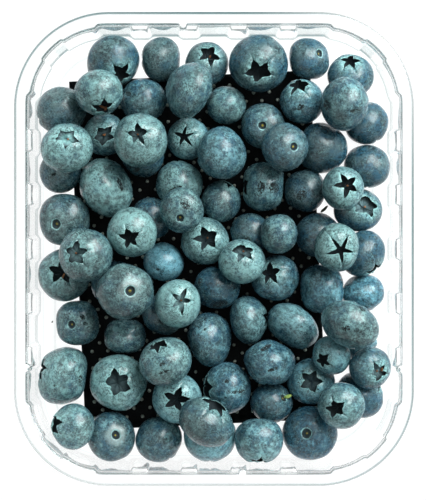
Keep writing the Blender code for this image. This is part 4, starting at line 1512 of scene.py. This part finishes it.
@dataclass(frozen=True)
class Tray:
    """The clear tray: flange, upper wall, ledge, fluted wall with stepped corners, and base."""

    width: float = 120.55 * MM
    length: float = 143.0 * MM
    height: float = 41.0 * MM
    corner: float = 28.5 * MM
    sheet: float = 0.45 * MM
    flute_depth: float = 1.05 * MM
    panel_half: float = 4.7 * MM
    panel_taper: float = 1.2 * MM
    flank: float = 0.85 * MM
    corner_step: float = 0.9 * MM
    middle_step: float = 0.3 * MM
    step_start: float = math.radians(9.5)
    band_start: float = math.radians(34)
    band_full: float = math.radians(35.5)
    tightening: float = 0.16
    ledge_inset: float = 4.0 * MM
    lug_half: float = 1.25 * MM
    lug_depth: float = 1.4 * MM
    spacing: float = 0.9 * MM  # between the points along the wall's plain stretches
    closest: float = 0.05 * MM

    def levels(self) -> list[Level]:
        """The sheet's middle surface, from the lip's edge down to the raised floor."""
        half = self.sheet / 2
        rim = self.height - half
        # each level's edge is the painted reflection and shade where the sheet bends or is seen edge on
        rows = [
            Level(-0.14 * MM, self.height - 1.3 * MM, edge=1.0, seen=Seen.LIP),
            Level(-0.12 * MM, self.height - 0.8 * MM, edge=1.0, seen=Seen.LIP),
            Level(-0.02 * MM, rim - 0.24 * MM, edge=1.0, seen=Seen.LIP),
            Level(0.16 * MM, rim - 0.10 * MM, edge=0.9, seen=Seen.LIP),
            Level(0.36 * MM, rim - 0.03 * MM, edge=0.35, seen=Seen.LIP),
            Level(0.70 * MM, rim),
            Level(2.30 * MM, rim, step=0.5, lug=0.6),
            Level(3.04 * MM, rim - 0.03 * MM, step=0.9, lug=1.0),
            Level(3.29 * MM, rim - 0.20 * MM, step=1.0, lug=1.0, edge=0.60, seen=Seen.SHOULDER),
            Level(3.37 * MM, rim - 0.60 * MM, step=1.0, lug=1.0, edge=0.70, seen=Seen.SHOULDER),
            Level(3.42 * MM, rim - 2.6 * MM, step=1.0, lug=1.0, edge=0.28, seen=Seen.SHOULDER),
            Level(3.46 * MM, rim - 4.1 * MM, step=1.0, lug=1.0, edge=0.20, seen=Seen.SHOULDER),
            Level(3.49 * MM, rim - 4.48 * MM, flute=0.1, step=1.0, lug=0.9, edge=0.05),
            Level(3.58 * MM, rim - 4.66 * MM, flute=0.6, step=1.0, lug=0.4),
            Level(3.70 * MM, rim - 4.86 * MM, flute=1.0, step=1.0, edge=0.05),
            Level(3.75 * MM, rim - 5.3 * MM, flute=1.0, step=1.0, edge=0.05),
        ]
        steps = 9
        for i in range(1, steps + 1):
            share = i / steps
            inset = (3.75 + 1.03 * share) * MM
            height = (rim - 5.3 * MM) * (1 - share) + 1.8 * MM * share
            rows.append(Level(inset, height, flute=1.0, spread=share, step=1.0))
        rows += [
            Level(4.85 * MM, 0.95 * MM, flute=1.0, spread=1.0, step=1.0, edge=0.20, seen=Seen.FOOT),
            Level(4.97 * MM, 0.50 * MM, flute=1.0, spread=1.0, step=1.0, edge=0.60, seen=Seen.FOOT),
            Level(5.22 * MM, 0.30 * MM, flute=0.97, spread=1.0, step=0.9, edge=0.60, seen=Seen.FOOT),
            Level(5.60 * MM, half, flute=0.85, spread=1.0, step=0.7),
            Level(6.90 * MM, half, flute=0.2, spread=1.0, step=0.2, edge=0.03),
            Level(7.20 * MM, half, edge=0.12),
            Level(7.50 * MM, half),
            Level(10.40 * MM, half),
            Level(10.75 * MM, half + 0.12 * MM, edge=0.10),
            Level(11.05 * MM, half + 0.50 * MM, edge=0.10),
            Level(11.40 * MM, half + 0.70 * MM),
            Level(13.00 * MM, half + 0.70 * MM),
        ]
        return rows

    def sides(self) -> list[TraySide]:
        """The four sides, each with its row of panels and the place of its lug."""
        long_row = (self.width / 2, self.length / 2 - self.corner, 6, 16.5 * MM)
        short_row = (self.length / 2, self.width / 2 - self.corner, 5, 15.05 * MM)
        return [
            TraySide(Vector((0, 1)), Vector((-1, 0)), *long_row, -36.4 * MM, flute_painted_shade=0.40),
            TraySide(Vector((-1, 0)), Vector((0, -1)), *short_row, 9.4 * MM, panel_painted_shade=0.80),
            TraySide(Vector((0, -1)), Vector((1, 0)), *long_row, 36.1 * MM, panel_painted_shade=0.20),
            TraySide(Vector((1, 0)), Vector((0, 1)), *short_row, 8.7 * MM),
        ]

    def panel_centres(self, side_: TraySide) -> list[float]:
        """The middles of a side's outward panels, as distances along it."""
        return [(i - (side_.panels - 1) / 2) * side_.pitch for i in range(side_.panels)]

    @property
    def wall_corner(self) -> float:
        """The radius by which distances round the corners are measured."""
        return self.corner - self.ledge_inset

    def step_start_along(self, side_: TraySide) -> float:
        """How far along a side from its middle the corner's step begins."""
        return side_.straight + self.step_start * self.wall_corner

    def slide(self, side_: TraySide, place: float) -> float:
        """How a place along a side slides as the panels narrow downwards, as a share of their taper."""
        centres = self.panel_centres(side_)
        nearest = min(centres, key=lambda centre: abs(place - centre))
        offset = place - nearest
        if abs(offset) <= self.panel_half:
            return -offset / self.panel_half
        outer = abs(place) > centres[-1]
        run = self.step_start_along(side_) - centres[-1] - self.panel_half if outer else self.flank
        return -math.copysign(max(1 - (abs(offset) - self.panel_half) / run, 0), offset)

    def stations(self, side_: TraySide) -> list[float]:
        """Distances along one side: the edges of its features, and plain ones between them."""
        centres = self.panel_centres(side_)
        found = [side_.lug + step * self.lug_half / 4 for step in range(-4, 5)]
        for centre in centres:
            for sign in (-1, 1):
                found.append(centre + sign * self.panel_half)
                if abs(centre + sign * side_.pitch) <= centres[-1] + self.flank:
                    edge = self.panel_half
                    found += [centre + sign * (edge + share * self.flank) for share in (0.25, 0.5, 0.75, 1.0)]
        for angle in (self.step_start, self.band_start, self.band_full):
            distance = side_.straight + angle * self.wall_corner
            found += [-distance, distance]
        reach = side_.straight + math.radians(45) * self.wall_corner
        edges = sorted([-reach, *found, reach])
        places: list[float] = []
        for start, end in zip(edges, edges[1:]):
            count = max(1, round((end - start) / self.spacing))
            if end - start > self.closest:
                places += [start + (end - start) * i / count for i in range(count)]
        return places

    def depth(self, side_: TraySide, distance: float, level: Level) -> float:
        """How far inwards the flutes, the corner steps and the lug press the wall at a place along a side."""
        centres = self.panel_centres(side_)
        away = abs(distance)
        taper = self.panel_taper * level.spread
        if away > centres[-1]:
            from_edge = centres[-1] + self.panel_half - taper
            ramp = min(max((away - from_edge) / (self.step_start_along(side_) - from_edge), 0), 1)
            band_start = side_.straight + self.band_start * self.wall_corner
            band_run = (self.band_full - self.band_start) * self.wall_corner
            band = min(max((away - band_start) / band_run, 0), 1)
            found = level.step * ramp * (self.corner_step + band * (self.middle_step - self.corner_step))
        else:
            nearest = min(abs(distance - centre) for centre in centres)
            ramp = min(max((nearest - self.panel_half + taper) / (self.flank + taper), 0), 1)
            found = level.flute * (3 * ramp**2 - 2 * ramp**3) * self.flute_depth
        from_lug = (distance - side_.lug) / self.lug_half
        if abs(from_lug) < 1:
            found += level.lug * self.lug_depth * math.sqrt(1 - from_lug**2)
        return found

    def outline(self, side_: TraySide, distance: float, inset: float) -> Vector:
        """The point this far along a side and this far in, following the corner's arc past the straight."""
        past = abs(distance) - side_.straight
        if past <= 0:
            return side_.along * distance - side_.inward * (side_.half - inset)
        sign = math.copysign(1, distance)
        angle = past / self.wall_corner
        outwards = self.tightening * inset
        centre = side_.along * sign * (side_.straight + outwards)
        centre = centre - side_.inward * (side_.half - self.corner + outwards)
        outward = side_.along * sign * math.sin(angle) - side_.inward * math.cos(angle)
        return centre + outward * (self.corner - inset - outwards)

    def ring(self, level: Level) -> tuple[np.ndarray, list[float]]:
        """One level's closed ring of points, and how much painted reflection and shade the sheet has at each."""
        points, painted_edge_shades = [], []
        for side_ in self.sides():
            for distance in self.stations(side_):
                place = distance + self.slide(side_, distance) * self.panel_taper * level.spread
                pressed = self.depth(side_, place, level)
                point = self.outline(side_, place, level.inset + pressed)
                points.append((*point, level.height))
                outward = Vector((point.x / self.width, point.y / self.length)).normalized()
                painted_edge_shades.append(self.painted_edge_shade(side_, level, outward, pressed))
        return np.array(points), painted_edge_shades

    def painted_edge_shade(self, side_: TraySide, level: Level, outward: Vector, pressed: float) -> float:
        """How much painted reflection and shade the sheet has at a point, on its bends and edges and on some sides'
        faces.

        Args:
            side_: the side that the point is on.
            level: its level.
            outward: the level direction from the middle of the tray to it.
            pressed: how far in the sheet is pressed there.

        Returns:
            The painted shade, from 0 for clear to 1.
        """
        strength, more_x, more_y, lost = level.seen.value
        # painted reflection and shade, stronger on some sides and weaker in the corner between +X and +Y
        edge = level.edge * max(strength + more_x * outward.x + more_y * outward.y, 0)
        edge *= 1 - lost * max((outward.x + outward.y) / math.sqrt(2), 0) ** 12
        if level.spread == 0 or level.flute < 1:
            return edge
        face = side_.flute_painted_shade if pressed > 0.7 * self.flute_depth else 0.0
        face = side_.panel_painted_shade if pressed < 0.3 * self.flute_depth else face
        return max(edge, face * (0.4 + 0.6 * level.spread))

    def build(self, look: bpy.types.Material) -> bpy.types.Object:
        """The tray's piece, a closed sheet of even thickness."""
        made_rings = [self.ring(level) for level in self.levels()]
        rings = [points for points, _ in made_rings]
        bm = loft(rings)
        bmesh.ops.recalc_face_normals(bm, faces=bm.faces)
        obj = new_object("clear_tray", mesh_of("clear_tray", bm, look))
        # the edge attribute carries the painted reflection and shade to the sheet's material
        edge = np.concatenate([painted_edge_shades for _, painted_edge_shades in made_rings]).astype(np.float32)
        obj.data.attributes.new("edge", "FLOAT", "POINT").data.foreach_set("value", edge)
        wall = obj.modifiers.new("sheet", "SOLIDIFY")
        wall.thickness = self.sheet
        wall.offset = 0
        made = bake_modifiers(obj)
        made.data.set_sharp_from_angle(angle=math.radians(55))
        return made


# Studio


@dataclass(frozen=True)
class Studio:
    """The camera, the pale floor and the soft lights."""

    lens: float = 356.4
    distance: float = 1.5
    offset: tuple[float, float] = (-0.29 * MM, -0.33 * MM)
    surround: float = 0.06  # brightness all round, as it lights the berries
    beyond: float = 1.0  # brightness all round, as it shows through the clear sheet
    dimmed: float = 0.05  # how much darker that is towards the key light's side

    def camera(self, rim: float) -> None:
        """A long lens straight above the tray's rim."""
        data = bpy.data.cameras.new("camera")
        data.lens = self.lens
        data.sensor_width = 36.0
        data.clip_end = 50.0
        obj = bpy.data.objects.new("camera", data)
        obj.location = (*self.offset, rim + self.distance)
        bpy.context.scene.collection.objects.link(obj)
        bpy.context.scene.camera = obj

    def floor(self) -> None:
        """A wide white floor, lit from within so that it stays white in the shade. It isn't part of the object."""
        bm = bmesh.new()
        bmesh.ops.create_grid(bm, x_segments=1, y_segments=1, size=6.0)
        made, graph, shader = new_material("studio_floor")
        shader.inputs["Base Color"].default_value = (0.12, 0.12, 0.12, 1.0)
        shader.inputs["Roughness"].default_value = 0.9
        shader.inputs["Specular IOR Level"].default_value = 0.0
        shader.inputs["Emission Color"].default_value = (1.0, 1.0, 1.0, 1.0)
        path = graph.node("ShaderNodeLightPath").outputs
        through = graph.math("MAXIMUM", path["Is Transmission Ray"], path["Is Singular Ray"])
        seen = graph.math("MAXIMUM", path["Is Camera Ray"], through)
        graph.feed(shader.inputs["Emission Strength"], graph.math("MULTIPLY_ADD", seen, 0.55, 0.38))
        obj = new_object("studio_floor", mesh_of("studio_floor", bm, made))
        obj.location.z = -0.0002
        obj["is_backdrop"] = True

    @staticmethod
    def light(name: str, place: Vector, target: Vector, size: tuple[float, float], radiance: float) -> None:
        """A rectangular soft light that faces a target."""
        data = bpy.data.lights.new(name, "AREA")
        data.color = (0.93, 1.0, 0.985)
        data.shape = "RECTANGLE"
        data.size, data.size_y = size
        data.energy = radiance * math.pi * size[0] * size[1]
        obj = bpy.data.objects.new(name, data)
        obj.location = place
        obj.rotation_euler = (target - place).to_track_quat("-Z", "Y").to_euler()
        bpy.context.scene.collection.objects.link(obj)

    def lights(self) -> None:
        """A key light high to the right and behind, a broad light overhead and a pale surround."""
        target = Vector((0, 0, 0.02))
        self.light("key", Vector((1.16, 1.32, 1.48)), target, (1.60, 1.95), 10.4)
        self.light("overhead", Vector((0.0, 0.0, 2.4)), target, (1.6, 1.6), 0.8)
        world = bpy.data.worlds.new("studio")
        world.use_nodes = True
        graph = Graph(world.node_tree)
        path = graph.node("ShaderNodeLightPath")
        background = world.node_tree.nodes["Background"]
        background.inputs["Color"].default_value = (0.84, 1.0, 1.0, 1.0)
        inside = graph.math("GREATER_THAN", path.outputs["Ray Depth"], 1.5)
        inside = graph.math("MULTIPLY", inside, graph.math("SUBTRACT", 1.0, path.outputs["Is Diffuse Ray"]))
        mirrored = graph.math("MAXIMUM", path.outputs["Is Transmission Ray"], path.outputs["Is Singular Ray"])
        through = graph.math("MAXIMUM", graph.math("MAXIMUM", mirrored, inside), path.outputs["Is Camera Ray"])
        direction = graph.node("ShaderNodeTexCoord").outputs["Generated"]
        parts = graph.node("ShaderNodeSeparateXYZ", {0: direction}).outputs
        towards = graph.math("ADD", graph.math("MULTIPLY", parts["X"], 0.8), graph.math("MULTIPLY", parts["Y"], 0.6))
        shown = graph.math("MULTIPLY_ADD", graph.ramp(towards, 0.2, 0.9), -self.dimmed, self.beyond)
        brightness = graph.math("MULTIPLY_ADD", through, graph.math("SUBTRACT", shown, self.surround), self.surround)
        graph.feed(background.inputs["Strength"], brightness)
        bpy.context.scene.world = world

    @staticmethod
    def tone() -> None:
        """Plain colours, with enough light paths for the clear sheet."""
        scene = bpy.context.scene
        scene.view_settings.view_transform = "Standard"
        scene.cycles.max_bounces = 110
        scene.cycles.transmission_bounces = 110
        scene.cycles.glossy_bounces = 110
        scene.cycles.transparent_max_bounces = 16


def keep(piece: bpy.types.Object, node: str | None = None) -> None:
    """Makes a piece ride with the punnet, and hides the frame's node that it stands for."""
    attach(piece, BODY)
    if node:
        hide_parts(node)
    LOG.info("%s: %d faces", piece.name, len(piece.data.polygons))


def main() -> None:
    """Loads the frame, builds each part of the punnet in order and sets the studio round it."""
    logging.basicConfig(level=logging.INFO, format="%(name)s: %(message)s")
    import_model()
    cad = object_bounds()
    effects = Effects()
    studio = Studio()
    studio.camera(cad[1].z)

    tray = Tray()
    floor = tray.build(ClearSheet().material())
    keep(floor, "tray")

    pad_low, pad_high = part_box("pad")
    pad = Pad(base=pad_low.z, thickness=pad_high.z - pad_low.z)
    film = PlainFinish("pad_film", (0.0006, 0.0008, 0.0010), (0.002, 0.0025, 0.003), 0.5, 1.6, 0.5, 0.04)
    dots = PlainFinish("pad_dots", (0.24, 0.27, 0.23), (0.42, 0.45, 0.40), 0.3, 0.5, 0.3)
    keep(pad.film(film.material(effects)), "pad")
    keep(pad.dots(dots.material(effects)))

    berries = Spill(pad, tray.sheet + 0.7 * MM).build(effects, BerrySkin().material(effects))
    for piece in berries:
        keep(piece, "berry_heap")

    under = [*berries, floor]
    flower = PlainFinish("flower_bits", (0.34, 0.12, 0.03), (0.14, 0.05, 0.02), 0.5, 0.5)
    stem = PlainFinish("stem_bits", (0.010, 0.014, 0.008), (0.04, 0.045, 0.02), 0.6, 0.5)
    stalk = PlainFinish("stalk", (0.14, 0.30, 0.04), (0.42, 0.50, 0.14), 0.5, 1.2)
    for name, bits, finish in (
        ("flower_bits", FLOWER_BITS, flower),
        ("stem_bits", STEM_BITS, stem),
        ("stalk", STALKS, stalk),
    ):
        keep(Crumbs(name, bits).build(under, finish.material(effects)))

    studio.floor()
    studio.lights()
    studio.tone()


if __name__ == "__main__":
    main()
